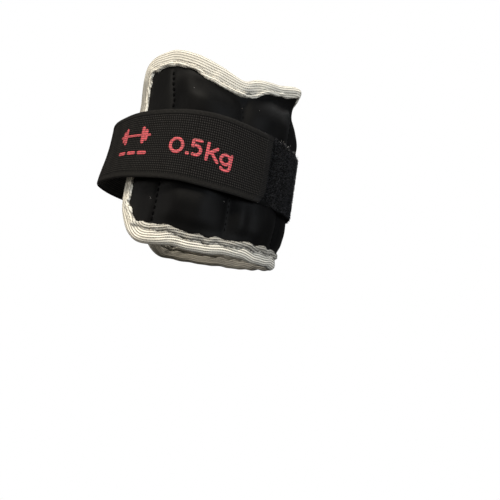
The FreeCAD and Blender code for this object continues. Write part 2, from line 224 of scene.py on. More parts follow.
def tube(path, radius, sides, up=(0.0, 0.0, 1.0)):
    """A closed tube with tapered ends along path (n, 3): points, faces and uv."""
    path = np.asarray(path, float)
    rows = len(path)
    tangent = np.gradient(path, axis=0)
    tangent /= np.linalg.norm(tangent, axis=1)[:, None] + 1e-12
    side = np.cross(tangent, up)
    bad = np.linalg.norm(side, axis=1) < 1e-3  # where the path runs along up
    side[bad] = np.cross(tangent[bad], [1.0, 0.3, 0.1])
    side /= np.linalg.norm(side, axis=1)[:, None]
    normal = np.cross(side, tangent)
    radii = np.full(rows, float(radius))
    radii[[0, -1]] *= 0.35
    turn = np.linspace(0, 2 * np.pi, sides, endpoint=False)[None, :, None]
    circle = np.cos(turn) * side[:, None] + np.sin(turn) * normal[:, None]
    wall = (path[:, None] + radii[:, None, None] * circle).reshape(-1, 3)
    points = np.concatenate([wall, path[:1], path[-1:]])
    count = rows * sides
    j = np.arange(sides)
    k = (j + 1) % sides
    first = np.stack([k, j, np.full(sides, count)], 1)
    last = np.stack([count - sides + j, count - sides + k, np.full(sides, count + 1)], 1)
    uv = np.stack([np.repeat(np.arange(rows), sides), np.tile(j, rows)], 1).astype(float)
    faces = [tube_faces(rows, sides), np.concatenate([first, last])]
    return points, faces, np.concatenate([uv, [[0, 0], [rows, 0]]])


def joined(name, parts, mat):
    """One mesh from a list of (points, faces, uv)."""
    points, faces, uvs, base = [], {}, [], 0
    for part_points, part_faces, part_uv in parts:
        for block in part_faces:
            faces.setdefault(block.shape[1], []).append(block + base)
        points.append(part_points)
        uvs.append(part_uv)
        base += len(part_points)
    blocks = [np.concatenate(same) for same in faces.values()]
    return write_mesh(name, np.concatenate(points), blocks, np.concatenate(uvs), mat)


def yarns(name, edge, ridge, other_edge, mat):
    """Many three-sided strands; each argument is (strands, 4, 3) points."""
    count = len(edge)
    points = np.stack([edge, ridge, other_edge], 2).reshape(-1, 3)
    faces = (tube_faces(4, 3)[None] + 12 * np.arange(count)[:, None, None]).reshape(-1, 4)
    return write_mesh(name, points, [faces], np.zeros((count * 12, 2)), mat)


# ---------------------------------------------------------------- places in the frame
def bend(obj, radius):
    """Bakes obj's transform into its mesh."""
    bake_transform(obj)


def fit(obj, pockets):
    """Rides one pocket; over the channel between two, its transform is only baked."""
    bodies = ["pocket_%d" % k for k in pockets]
    if len(bodies) == 1:
        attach(obj, bodies[0])
    else:
        bend(obj, RING_R)


def replace_panel(zone, piece, flange=None):
    """Takes over the zone's numbered CAD piece and, at an end, the flange piece."""
    if zone not in PANELS:
        return
    names = ["%s_%d" % (piece, PANELS[zone])]
    if flange and zone.endswith("_end"):
        names.append("%s_flange_%s" % (zone[:-4], flange))
    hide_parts(*names)


# ---------------------------------------------------------------- materials
class Graph:
    """Short hand for building node graphs. Values may be sockets, numbers or RGB colours."""

    SURFACE = {
        "colour": "Base Color", "normal": "Normal", "rough": "Roughness", "metal": "Metallic",
        "sheen": "Sheen Weight", "sheen_rough": "Sheen Roughness",
        "specular": "Specular IOR Level",
    }

    def __init__(self, tree):
        self.tree = tree

    def put(self, socket, value):
        if isinstance(value, bpy.types.NodeSocket):
            self.tree.links.new(value, socket)
        else:
            socket.default_value = (*value, 1) if isinstance(value, tuple) else value

    def node(self, kind, inputs=None, **settings):
        """inputs maps socket names or numbers to values."""
        node = self.tree.nodes.new(kind)
        for key, value in settings.items():
            setattr(node, key, value)
        for key, value in (inputs or {}).items():
            self.put(node.inputs[key], value)
        return node

    def math(self, operation, *values):
        inputs = dict(enumerate(values))
        return self.node("ShaderNodeMath", inputs, operation=operation).outputs[0]

    def uv(self):
        source = self.node("ShaderNodeUVMap", uv_map="UVMap").outputs[0]
        parts = self.node("ShaderNodeSeparateXYZ", {0: source})
        return parts.outputs[0], parts.outputs[1]

    def position(self):
        return self.node("ShaderNodeTexCoord").outputs["Object"]

    def noise(self, place, scale, detail=2.0):
        inputs = {"Scale": scale, "Detail": detail, "Roughness": 0.55, "Vector": place}
        return self.node("ShaderNodeTexNoise", inputs).outputs[0]

    def wave(self, x, pitch):
        """0..1 rounded ribs along a coordinate in mm."""
        sine = self.math("SINE", self.math("MULTIPLY", x, 2 * math.pi / pitch))
        return self.math("MULTIPLY_ADD", sine, 0.5, 0.5)

    def remap(self, x, start, end, low=0.0, high=1.0, **settings):
        inputs = {0: x, 1: start, 2: end, 3: low, 4: high}
        return self.node("ShaderNodeMapRange", inputs, **settings).outputs[0]

    def mix(self, factor, first, second):
        inputs = {0: factor, 6: first, 7: second}
        return self.node("ShaderNodeMix", inputs, data_type="RGBA").outputs[2]

    def mix_shaders(self, factor, first, second):
        return self.node("ShaderNodeMixShader", {0: factor, 1: first, 2: second}).outputs[0]

    def bump(self, height, strength, depth_mm):
        inputs = {"Strength": strength, "Distance": depth_mm * MM, "Height": height}
        return self.node("ShaderNodeBump", inputs).outputs[0]

    def finish(self, **values):
        surface = self.tree.nodes["Principled BSDF"]
        for key, value in values.items():
            self.put(surface.inputs[self.SURFACE[key]], value)


def new_material(name):
    mat = bpy.data.materials.new(name)
    mat.use_nodes = True
    return mat, Graph(mat.node_tree)


def cloth_material(name, dark, light, rough, sheen, specular, knit, strength):
    """Smooth fine knit: tiny loops in two directions, slow tone drift. knit is the loop pitch."""
    mat, graph = new_material(name)
    place = graph.position()
    u, v = graph.uv()
    slow = graph.noise(place, 38.0)
    fine = graph.noise(place, 2600.0)
    tone = graph.math("MULTIPLY_ADD", fine, 0.35, graph.math("MULTIPLY", slow, 0.65))
    loops = graph.math("MULTIPLY", graph.wave(u, knit), graph.wave(v, knit))
    height = graph.math("MULTIPLY_ADD", fine, 0.6, graph.math("MULTIPLY", loops, 0.6))
    graph.finish(
        colour=graph.mix(graph.remap(tone, 0.3, 0.7), dark, light),
        normal=graph.bump(height, strength, depth_mm=0.12),
        rough=rough, sheen=sheen, sheen_rough=0.6, specular=specular,
    )
    return mat


def tape_material():
    """Ribbed tape with toothed gaps, darkened by painted shade in the gaps and by painted shade
    and shadow laid on per vertex.
    """
    mat, graph = new_material("binding_weave")
    u, v = graph.uv()
    place = graph.position()
    rib = graph.wave(v, TAPE_RIB)
    row = graph.math("FLOOR", graph.math("DIVIDE", v, TAPE_RIB))
    tooth = graph.wave(graph.math("MULTIPLY_ADD", row, 0.45, u), 0.9)
    weave = graph.math("MULTIPLY_ADD", tooth, 0.35, graph.math("MULTIPLY", rib, 0.65))
    gap = graph.math("POWER", graph.math("SUBTRACT", 1.0, rib), 1.6)
    open_tooth = graph.math("SUBTRACT", 1.0, tooth)
    gap = graph.math("MULTIPLY", gap, graph.math("MULTIPLY_ADD", open_tooth, 0.68, 0.32))
    stain = graph.remap(graph.noise(place, 90.0, detail=3.0), 0.35, 0.7)
    colour = graph.mix(stain, (0.82, 0.768, 0.655), (0.73, 0.69, 0.605))
    # painted shade in the weave's gaps between ribs and teeth
    colour = graph.mix(graph.remap(gap, 0.03, 0.62), colour, (0.15, 0.135, 0.115))
    # painted shade and shadow, laid on per vertex, darken the tape towards near black
    painted_shade = graph.node("ShaderNodeAttribute", attribute_name="painted_shade").outputs["Fac"]
    graph.finish(
        colour=graph.mix(painted_shade, colour, (0.012, 0.010, 0.008)),
        normal=graph.bump(weave, 0.7, depth_mm=0.25),
        rough=0.75, sheen=0.15, specular=0.3,
    )
    return mat


def strap_material(name, lit, dark, rib_pitch, row_pitch):
    """Woven elastic: cross ribs and lengthwise rows, smooth selvedges at both edges."""
    mat, graph = new_material(name)
    u, v = graph.uv()
    place = graph.position()
    ribs = graph.remap(graph.wave(u, rib_pitch), 0.2, 0.9, 0.08, 1.0)
    rows = graph.remap(graph.wave(v, row_pitch), 0.2, 0.85, 0.12, 1.0)
    weave = graph.math("MULTIPLY", ribs, rows)
    across = graph.math("ABSOLUTE", v)
    selvedge = graph.remap(across, STRAP_HALF - 3.1, STRAP_HALF - 2.7)
    seam = graph.math(
        "MULTIPLY",
        graph.remap(across, STRAP_HALF - 3.7, STRAP_HALF - 3.2),
        graph.remap(across, STRAP_HALF - 2.9, STRAP_HALF - 2.5, 1.0, 0.0),
    )
    band = graph.remap(graph.wave(v, 0.62), 0.0, 1.0, 0.24, 0.42)
    inputs = {0: selvedge, 2: weave, 3: band}
    light = graph.node("ShaderNodeMix", inputs, data_type="FLOAT").outputs[0]
    light = graph.math("MULTIPLY", light, graph.remap(seam, 0.0, 1.0, 1.0, 0.45))
    speck = graph.remap(graph.noise(place, 900.0), 0.3, 0.7, 0.7, 1.25)
    light = graph.math("MULTIPLY", light, speck)
    graph.finish(
        colour=graph.mix(light, dark, lit),
        normal=graph.bump(light, 0.8, depth_mm=0.28),
        rough=0.8, specular=0.08,
    )
    return mat


def ink_material():
    """Red print, thin between the strap's rows and ribs."""
    mat, graph = new_material("strap_ink")
    u, v = graph.uv()
    place = graph.position()
    rows = graph.remap(graph.wave(v, STRAP_ROW), 0.05, 0.55, 0.15, 1.0)
    ribs = graph.remap(graph.wave(u, STRAP_RIB), 0.0, 0.5, 0.6, 1.0)
    speck = graph.remap(graph.noise(place, 1300.0), 0.3, 0.62, 0.55, 1.15)
    cover = graph.math("MULTIPLY", graph.math("MULTIPLY", rows, ribs), speck)
    graph.finish(
        colour=graph.mix(cover, (0.020, 0.004, 0.005), (0.74, 0.085, 0.100)),
        normal=graph.bump(cover, 0.6, depth_mm=0.2),
        rough=0.6,
    )
    return mat


def mottled(name, dark, light, scale, rough, strength, specular=0.3):
    mat, graph = new_material(name)
    grain = graph.noise(graph.position(), scale, detail=3.0)
    graph.finish(
        colour=graph.mix(graph.remap(grain, 0.3, 0.7), dark, light),
        normal=graph.bump(grain, strength, depth_mm=0.2),
        rough=rough, specular=specular,
    )
    return mat


def grey(level):
    return (level,) * 3


def shot_material():
    """Packed metal beads."""
    mat, graph = new_material("iron_shot")
    inputs = {"Scale": 480.0, "Vector": graph.position()}
    beads = graph.node("ShaderNodeTexVoronoi", inputs).outputs["Distance"]
    graph.finish(
        # darker towards each bead's rim: painted shade in the crevices between beads
        colour=graph.mix(graph.remap(beads, 0.0, 0.6), (0.32, 0.31, 0.30), (0.05, 0.05, 0.0)),
        normal=graph.bump(graph.remap(beads, 0.0, 0.7, 1.0, 0.0), 1.0, depth_mm=0.9),
        metal=0.85, rough=0.45,
    )
    return mat


COVER = cloth_material(
    "cover_knit", (0.0012, 0.0011, 0.0012), (0.0032, 0.0030, 0.0029),
    rough=0.55, sheen=0.0, specular=0.068, knit=0.55, strength=0.35,
)
LINING = cloth_material(
    "lining_brushed", (0.012, 0.012, 0.013), (0.022, 0.022, 0.024),
    rough=0.95, sheen=0.1, specular=0.1, knit=0.8, strength=0.6,
)
BAG = cloth_material(
    "bag_cloth", (0.42, 0.41, 0.37), (0.55, 0.54, 0.49),
    rough=0.9, sheen=0.1, specular=0.3, knit=0.7, strength=0.5,
)
BINDING = tape_material()
STRAP = strap_material(
    "strap_elastic", (0.035, 0.032, 0.0290), grey(0.0005), STRAP_RIB, STRAP_ROW
)
END_BAND = strap_material("strap_fold", (0.028, 0.026, 0.025), grey(0.002), 0.8, 1.0)
INK = ink_material()
LOOP = mottled(
    "loop_backing", grey(0.002), grey(0.006), scale=1500, rough=0.95, strength=1.0, specular=0.05
)
PILE = mottled(
    "loop_pile", (0.002, 0.002, 0.0024), (0.024, 0.024, 0.028),
    scale=700, rough=0.6, strength=0.2, specular=0.25,
)
HOOK = mottled(
    "hook_plastic", grey(0.010), grey(0.022), scale=900, rough=0.45, strength=0.2, specular=0.5
)
BLACK_THREAD = mottled(
    "thread_black", grey(0.0008), grey(0.002), scale=2500, rough=0.8, strength=0.5, specular=0.03
)
STRAP_THREAD = mottled(
    "thread_strap", (0.010, 0.009, 0.008), (0.020, 0.018, 0.016),
    scale=2500, rough=0.8, strength=0.5, specular=0.05,
)
PALE_THREAD = mottled(
    "thread_pale", (0.66, 0.61, 0.53), (0.80, 0.76, 0.68), scale=2500, rough=0.7, strength=0.5
)
LINT = mottled(
    "lint", (0.30, 0.28, 0.26), (0.50, 0.48, 0.45), scale=1500, rough=0.8, strength=0.1
)
SHOT = shot_material()

# ---------------------------------------------------------------- pad outline
# angle, height of the upper rim
TOP = [
    (-165, 113.4), (-150, 113.8), (-135, 113.2), (-128, 113.6), (-122, 115.0), (-117, 116.1),
    (-110.5, 115.2), (-104.5, 113.6), (-98.5, 111.9), (-92.5, 109.9), (-87, 108.3), (-83, 107.0),
    (-79, 105.4), (-75, 103.9), (-71.5, 102.6), (-68.7, 102.1), (-66, 104.2), (-63, 106.0),
    (-59, 107.4), (-53, 109.0), (-46.5, 110.8), (-40, 112.8), (-33, 115.6), (-28, 117.6),
    (-23, 118.3), (-17, 116.6), (-11, 113.6), (-5, 112.0), (2, 111.8), (9, 112.6), (15, 112.8),
    (22.5, 111.4), (29, 113.4), (38, 114.8), (47, 114.6), (57, 111.0), (63, 107.0),
    (67.5, 105.0), (72, 106.6), (80, 110.0), (95, 113.0), (113, 115.0), (131, 115.0),
    (150, 114.4), (165, 114.0),
]
# angle, height of the lower rim
LOW = [
    (-165, 2.0), (-121, 1.2), (-107, 0.8), (-102.5, 1.2), (-99.5, 2.0), (-95, 1.2), (-89, 0.2),
    (-78, 0.0), (-72, 0.3), (-66, 1.0), (-60, 1.7), (-54, 1.2), (-46, 0.8), (-38, 0.2),
    (-30, 0.3), (-22.5, 0.9), (-14, 0.3), (0, 0.1), (14, 0.4), (22.5, 1.5), (30, 0.5),
    (45, 0.2), (60, 0.5), (67.5, 1.4), (75, 0.4), (95, 0.2), (112, 0.8), (165, 2.0),
]
# height, size of the angle at which the lateral end stops
LATERAL_EDGE = [
    (20, 142.7), (34, 142.2), (60, 141.9), (83, 141.7), (91, 142.8), (100, 144.6), (112, 144.9),
]
# Half axes (round the ring, up) of the rounded ends' corners, and their curve's exponent.
TOP_CORNER, LOW_CORNER = (17.0, 12.0), (21.6, 27.0)
ROUND = 1.7
EDGE_STEP = 0.8

top_curve, low_curve = smooth_table(TOP, 1.2), smooth_table(LOW, 1.6)
top_wobble, low_wobble = Ripple(11, 14, 40), Ripple(12, 11, 30)


def z_top(angle):
    return top_curve(angle) + 0.2 * top_wobble(np.radians(angle) * RING_R)


def z_low(angle):
    return np.maximum(low_curve(angle) + 0.25 * low_wobble(np.radians(angle) * RING_R), 0.0)


def end_run(z, side):
    """Distance round the ring from the front to the end (side -1 lateral, 1 medial)."""
    if side < 0:
        return -np.interp(z, *zip(*LATERAL_EDGE)) * DEG_MM
    return (144.0 + 0.02 * (z - 35.0)) * DEG_MM


def corner(centre_run, centre_z, half_run, half_z, start):
    """A quarter of a superellipse, anticlockwise from start."""
    turn = np.linspace(start, start + np.pi / 2, 60)
    cos, sin = np.cos(turn), np.sin(turn)
    run = centre_run + half_run * np.sign(cos) * np.abs(cos) ** (2 / ROUND)
    return np.stack([run, centre_z + half_z * np.sign(sin) * np.abs(sin) ** (2 / ROUND)], 1)


def outline():
    """The pad's edge as a closed curve in (run, z), anticlockwise seen from outside."""
    top_run, top_rise = TOP_CORNER
    low_run, low_rise = LOW_CORNER
    left_top, left_low = end_run(100, -1), end_run(20, -1)
    right_top, right_low = end_run(100, 1), end_run(20, 1)

    run = np.linspace(left_low + low_run, right_low - low_run, 900)
    bottom = np.stack([run, z_low(run / DEG_MM)], 1)
    run = np.linspace(right_top - top_run, left_top + top_run, 900)
    top = np.stack([run, z_top(run / DEG_MM)], 1)

    # the straight part of each end, between its corners' centres
    right_from, right_to = bottom[-1, 1] + low_rise, top[0, 1] - top_rise
    z = np.linspace(right_from, right_to, 200)[1:]
    shift = (right_low - end_run(right_from, 1)) * (1 - ease(right_from, right_from + 20, z))
    right = np.stack([end_run(z, 1) + shift, z], 1)
    left_from, left_to = top[-1, 1] - top_rise, bottom[0, 1] + low_rise
    z = np.linspace(left_from, left_to, 200)[1:]
    left = np.stack([end_run(z, -1), z], 1)

    right_reach = top_run + (right[-1, 0] - right_top)
    left_top_reach = top_run - (left[0, 0] - left_top)
    left_low_reach = low_run - (left[-1, 0] - left_low)
    points = np.concatenate(
        [
            bottom,
            corner(right_low - low_run, right_from, low_run, low_rise, -np.pi / 2)[1:],
            right,
            corner(right_top - top_run, right_to, right_reach, top_rise, 0)[1:],
            top[1:],
            corner(left_top + top_run, left_from, left_top_reach, top_rise, np.pi / 2)[1:],
            left,
            corner(left_low + low_run, left_to, left_low_reach, low_rise, np.pi)[1:],
        ]
    )
    along = distances(points)
    even = np.linspace(0, along[-1], int(along[-1] / EDGE_STEP), endpoint=False)
    return smooth_loop(interp_pairs(even, along, points), 8, sigma=2.0)


def unit(pairs):
    return pairs / np.linalg.norm(pairs, axis=1)[:, None]


def inward_of(edge):
    """Directions into the pad, evened out so the tape turns softly, most of all at the ends."""
    raw = unit(np.roll(edge, -1, 0) - np.roll(edge, 1, 0))
    at_end = ease(106, 118, np.abs(edge[:, 0] / DEG_MM))[:, None]
    soft, softer = smooth_loop(raw, 21, 7.0), smooth_loop(raw, 42, 14.0)
    tangent = unit(soft * (1 - at_end) + softer * at_end)
    return np.stack([-tangent[:, 1], tangent[:, 0]], 1)


def distance_grid(edge):
    """Distance to the edge at 1 mm steps of run and z."""
    runs, heights = np.arange(-152 * DEG_MM, 152 * DEG_MM, 1.0), np.arange(-3.0, 124.0, 1.0)
    rise_squared = (heights[:, None] - edge[:, 1][None]) ** 2
    grid = [np.sqrt(((run - edge[:, 0][None]) ** 2 + rise_squared).min(1)) for run in runs]
    return runs, heights, np.array(grid)


def closed_edge(edge, inward):
    """Starts the loop at the bottom, at the medial end zone, so that no zone's run wraps."""
    angle = edge[:, 0] / DEG_MM
    start = int(np.argmin(np.where((edge[:, 1] > 55) | (angle < 90), 1e3, angle)))
    edge, inward = np.roll(edge, -start, 0), np.roll(inward, -start, 0)
    edge = np.concatenate([edge, edge[:1]])
    return edge, np.concatenate([inward, inward[:1]]), distances(edge)


edge_loop = outline()
GRID_RUNS, GRID_HEIGHTS, GRID = distance_grid(edge_loop[::2])
EDGE, INWARD, ALONG = closed_edge(edge_loop, inward_of(edge_loop))


def edge_dist(run, z):
    """Distance in mm from the pad's bound edge."""
    x = np.clip(run - GRID_RUNS[0], 0, len(GRID_RUNS) - 1.001)
    y = np.clip(z - GRID_HEIGHTS[0], 0, len(GRID_HEIGHTS) - 1.001)
    i, j = x.astype(int), y.astype(int)
    x, y = x - i, y - j
    near = GRID[i, j] * (1 - x) + GRID[i + 1, j] * x
    return near * (1 - y) + (GRID[i, j + 1] * (1 - x) + GRID[i + 1, j + 1] * x) * y


# ---------------------------------------------------------------- pad layers
slow_ripple, fold_ripple = Ripple(21, 22, 60), Ripple(22, 9, 22)


def front_swell(angle, z):
    """The front of the ring stands a little further out, more so higher up."""
    return 2.6 * bell(angle, -11, 28) * (0.35 + 0.65 * ease(4, 34, z))


def stitch_angle(z, side):
    """The end line leans back near the rims."""
    return side * (111.2 + 5.4 * ease(78, 108, z) + 1.8 * ease(30, 8, z))


def flange_puff(angle):
    size = np.abs(angle)
    return ease(113.0, 121.0, size) * (1 - ease(126, 137, size)) * 0.2


def pillow(angle):
    """0 at a channel, 1 in the middle of a pocket, 0 on the flanges."""
    out = np.zeros(np.shape(angle))
    for centre in POCKETS:
        part = np.clip(np.abs(angle - centre) / POCKET_HALF, 0, 1)
        out = np.maximum(out, (1 - part**2.1) ** 0.9)
    return (np.sqrt(out**2 + 0.09) - 0.3) / (math.sqrt(1.09) - 0.3)


def pad_layers(angle, z):
    """Radii of the pad's middle, cover and lining."""
    run = angle * DEG_MM
    from_top, from_low = z_top(angle) - z, z - z_low(angle)
    from_rim = np.minimum(from_top, from_low)
    from_edge = edge_dist(run, z)
    # the rims flare outwards
    flare_top = 0.6 + 4.8 * bell(angle, -25.5, 7.2) + 0.7 * bell(angle, -40, 34)
    flare_top = flare_top - 4.6 * bell(angle, -9, 7.8)
    peak = bell(angle, -20.5, 6.5)
    flare_low = 0.6 + 0.5 * bell(angle, -20, 60)
    mid = RING_R + flare_top * ease(11.5 + 6.0 * peak, 1, from_top)
    mid = mid + flare_low * ease(18, 2, from_low)
    mid = mid + front_swell(angle, z) * (1 - 0.95 * ease(20, 7, from_top))
    mid = mid + 0.35 * slow_ripple(run, z) * ease(30, 5, from_rim)
    # the filled pockets, held down by the strap
    across = pillow(angle)
    full = across * ease(8, 27, from_top) ** 0.8 * ease(4.5, 19, from_low) ** 0.8
    strap_on = ease(33, 38, z) * ease(79, 74, z)
    squeeze = 1.0 * bell(z, 86, 7) + 1.1 * bell(z, 26, 7)
    swell = full * (4.1 + squeeze + 0.35 * slow_ripple(run * 1.3 + 40, z))
    folds = 0.13 * fold_ripple(run * 0.9, z * 0.45) * (1 - strap_on)
    folds = folds * ease(6, 14, from_rim) * ease(7, 14, from_edge)
    crest = bell(run, -60 * DEG_MM, 3.0) * bell(z, 22, 9)
    valley = bell(run, -54 * DEG_MM, 3.5) * bell(z, 24, 10)
    folds = folds + 0.9 * full * (crest - valley)
    # drawn in beside the binding and along the seams
    pinch = (1.1 + 2.3 * bell(angle, -14, 24)) * (1 - 0.45 * peak)
    pinch = pinch * bell(from_top, 12.5 + 4.5 * peak, 4.4) + 0.6 * bell(from_low, 12.5, 2.8)
    groove = 0.0
    for side in (-1, 1):
        groove = groove + 0.3 * bell(run, stitch_angle(z, side) * DEG_MM, 1.5)
    for channel in CHANNELS:
        groove = groove + 0.35 * bell(run, channel * DEG_MM, 2.8)
    cover = mid + SHEET_HALF + swell + folds - pinch * (0.4 + 0.6 * across) - groove
    cover = cover + flange_puff(angle) * ease(7, 13, from_edge)
    cover = cover - np.maximum(cover - 56.95, 0) * strap_on * 0.96
    lining = mid - SHEET_HALF - full * 3.7 + groove * 0.6
    lining = lining + 0.2 * fold_ripple(run + 90, z) * ease(6, 14, from_rim)
    return mid, cover, lining


def bound_layers(angle, z):
    """The pad's layers, squeezed flat under the binding."""
    mid, cover, lining = pad_layers(angle, z)
    free = ease(0.45, 0.95, edge_dist(angle * DEG_MM, z) / TAPE_FACE)

    def pressed(flat, face):
        return flat + (np.maximum(face, flat - 0.6) - flat) * free

    return mid, pressed(mid + SHEET_HALF, cover), -pressed(SHEET_HALF - mid, -lining)


# ---------------------------------------------------------------- cover and lining
CLOTH_INSET = 4.4
CLOTH_THICK = 1.6


def cloth_heights(angle, end_angle):
    """Top and bottom of the cloth, inset from the bound edge, with the rounded end."""
    end = end_angle * DEG_MM - CLOTH_INSET

    def rounding(corner_axes):
        half_run, half_z = (axis - CLOTH_INSET for axis in corner_axes)
        x = np.clip((np.abs(angle) * DEG_MM - (end - half_run)) / half_run, 0, 1)
        return half_z * (1 - (1 - x**ROUND) ** (1 / ROUND))

    high = z_top(angle) - CLOTH_INSET - rounding(TOP_CORNER)
    return high, z_low(angle) + CLOTH_INSET + rounding(LOW_CORNER)


def cloth_panel(kind, zone, cols, rows, mat):
    name, start, end, pockets = zone
    end_angle = 142.6 if name == "lateral_end" else 144.0
    limit = end_angle - 4.5 / DEG_MM
    start, end = max(start, -limit), min(end, limit)
    part = np.linspace(0, 1, cols)
    if len(pockets) == 1:  # pack columns into the rounded end
        part = np.sin(part * np.pi / 2) if end > 0 else 1 - np.sin((1 - part) * np.pi / 2)
    angle = start + (end - start) * part
    high, low = cloth_heights(angle, end_angle)
    z = low[:, None] + (high - low)[:, None] * np.linspace(0, 1, rows)[None]
    angle = np.repeat(angle[:, None], rows, 1)
    mid, cover, lining = bound_layers(angle, z)
    if kind == "cover":
        outer, inner = cover, np.maximum(cover - CLOTH_THICK, mid + 0.05)
    else:
        outer, inner = np.minimum(lining + CLOTH_THICK, mid - 0.05), lining
    uv = np.stack([angle * DEG_MM, z], -1)
    obj = plate("%s_%s" % (kind, name), xyz(angle, z, outer), xyz(angle, z, inner), uv, mat)
    fit(obj, pockets)
    replace_panel(name, "%s_panel" % kind, kind)


for zone in ZONES:
    columns = 96 if len(zone[3]) == 1 else 76
    cloth_panel("cover", zone, columns, 150, COVER)
    cloth_panel("lining", zone, columns * 2 // 3, 96, LINING)

# ---------------------------------------------------------------- edge binding
# angle, width of the tape's outer face along the upper and the lower rim
top_width = smooth_table(
    [
        (-165, 10.6), (-140, 10.6), (-125, 10.2), (-112, 10.2), (-98, 9.8), (-90, 11.2),
        (-80, 10.8), (-73, 10.2), (-68, 9.6), (-65, 10.6), (-62, 9.4), (-58, 8.3), (-50, 7.6),
        (-41, 7.3), (-34, 7.2), (-28, 7.0), (-20, 6.6), (0, 6.6), (165, 10.4),
    ],
    1.5,
)
low_width = smooth_table(
    [
        (-165, 11.0), (-125, 11.6), (-114, 11.8), (-108, 11.4), (-102, 10.8), (-97, 9.6),
        (-89, 9.8), (-84, 9.3), (-78, 9.2), (-72, 9.7), (-66, 8.8), (-62, 8.0), (-57, 9.1),
        (-50, 9.8), (-43, 10.6), (-30, 10.8), (-22, 11.2), (0, 10.6), (165, 10.6),
    ],
    1.5,
)
# angle of a crease across the lower tape, its lean in mm per mm
CREASES = ((-97.0, 0.8), (-80.0, -0.7), (-57.0, 0.9), (-37.0, -0.6))
FOLD_DEPTH = 3.0
FACE_COLS, FOLD_COLS = 52, 16
width_ripple, lift_ripple = Ripple(31, 7.0, 18), Ripple(32, 4.0, 9)
pucker_ripple, drift_ripple = Ripple(33, 8, 22), Ripple(34, 25, 70)


def tape_run(where):
    """Per edge point: calm (0 at the tape's two ends), gather, lowness (1 low, 0 high), width."""
    angle, z, along = EDGE[where, 0] / DEG_MM, EDGE[where, 1], ALONG[where]
    calm = ease(0, 8, along) * ease(0, 8, ALONG[-1] - along)
    gather = 0.3 + 0.55 * bell(angle, -66.5, 6) * (z > 60)
    for channel in CHANNELS[1:]:
        gather = gather + 0.4 * bell(angle, channel, 5) * (z > 60)
    gather = gather + 0.05 * (np.abs(angle) > 122)
    gather = gather + 0.25 * (z < 40) * ease(128, 116, np.abs(angle))
    low = ease(60, 45, z)
    width = top_width(angle) * (1 - low) + low_width(angle) * low
    # the lateral end's own variations
    width = width - 2.9 * bell(angle, -133.5, 7.5) * ease(32, 22, z)
    width = width - 1.2 * bell(angle, -140, 7) * ease(92, 106, z)
    side = 2.5 * ease(14, 22, z) * ease(60, 45, z) + 1.7 * ease(70, 80, z) * ease(99, 90, z)
    width = width - ease(-136, -141, angle) * side
    width = width + 0.9 * bell(angle, -136.5, 4.5) * ease(98, 106, z)
    width = width + calm * 0.30 * width_ripple(along) * (0.6 + gather)
    return calm, gather, low, width + 0.14 * np.sin(2 * np.pi * along / 2.3)


def pucker(along, depth):
    return 0.10 * lift_ripple(along, depth * 0.4) + 0.28 * pucker_ripple(along, depth * 0.5)


def tape_lift(along, depth, angle, z, arc, calm, gather, low, width):
    """How far the tape stands off the cloth."""
    ribs = (0.12 + 0.14 * low) * np.abs(np.sin(np.pi * arc / TAPE_RIB)) ** 0.7
    puckers = calm * pucker(along, depth) * ease(2, 8, depth) * (0.5 + gather)
    twist = 0.65 * bell(angle, -66.5, 5.0) * (z > 60) * np.sin((along * 0.9 + depth * 1.5) / 1.5)
    # hem turned under at the inner edge and drawn in by each stitch
    beat = np.sin(2 * np.pi * along / (2.3 + 0.9 * low) + depth)
    hem = 0.42 + 0.2 * low + (0.16 + 0.1 * low) * beat
    hem = hem * bell(depth, width - 1.0 - 0.7 * low, 0.75 + 0.55 * low)
    seam = (0.40 + 0.45 * low) * (1 - 0.6 * ease(-112, -122, angle))
    seam = seam * bell(depth, width - 2.35 - 1.3 * low, 0.4 + 0.15 * low)
    crease = 0.0
    for centre, lean in CREASES:
        slant = lean * (depth - 5.0)
        crease = crease - 0.38 * low * bell(angle * DEG_MM, centre * DEG_MM + slant, 1.1)
        ridge = (centre + 2.6) * DEG_MM + slant
        crease = crease + 0.22 * low * bell(angle * DEG_MM, ridge, 1.6)
    lift = 1.0 + ribs + puckers + twist * ease(3, 8, depth) + hem - seam
    lift = lift + crease * ease(0.5, 2.0, depth)
    lift = lift * (1 - 0.8 * ease(0.2, 0.0, width - depth))
    sewn = ease(116, 122, angle) * ease(29, 33, z) * ease(82, 78, z)  # under the strap's root
    return lift - sewn * np.maximum(lift - 0.6, 0)


def tape_painted_shade(depth, angle, z, low, width):
    """Painted shade and shadow on the tape: down the lateral end, under the strap where it passes,
    and along the turned hem and its seam.
    """
    near = width - depth
    # painted shade down the upper part of the lateral end
    painted_shade = 0.58 * ease(-131, -137, angle) * ease(70, 80, z) * ease(107, 96, z)
    # painted shade along the lower tape's turned hem
    hem = low * (0.22 + 0.28 * ease(-114, -92, angle)) * ease(5.0, 3.4, near)
    painted_shade = painted_shade + hem * ease(-130, -122, angle) * ease(14, -6, angle)
    # painted shade in the lower tape's hem seam
    painted_shade = painted_shade + 0.2 * low * bell(near, 2.35 + 1.3 * low, 0.8)
    # painted shadow of the strap on the lateral end of the tape
    side = 0.44 * ease(-129, -139, angle) * ease(34.0, 41.0, z) * ease(84, 70, z)
    return np.clip(np.maximum(painted_shade, side), 0, 0.96)


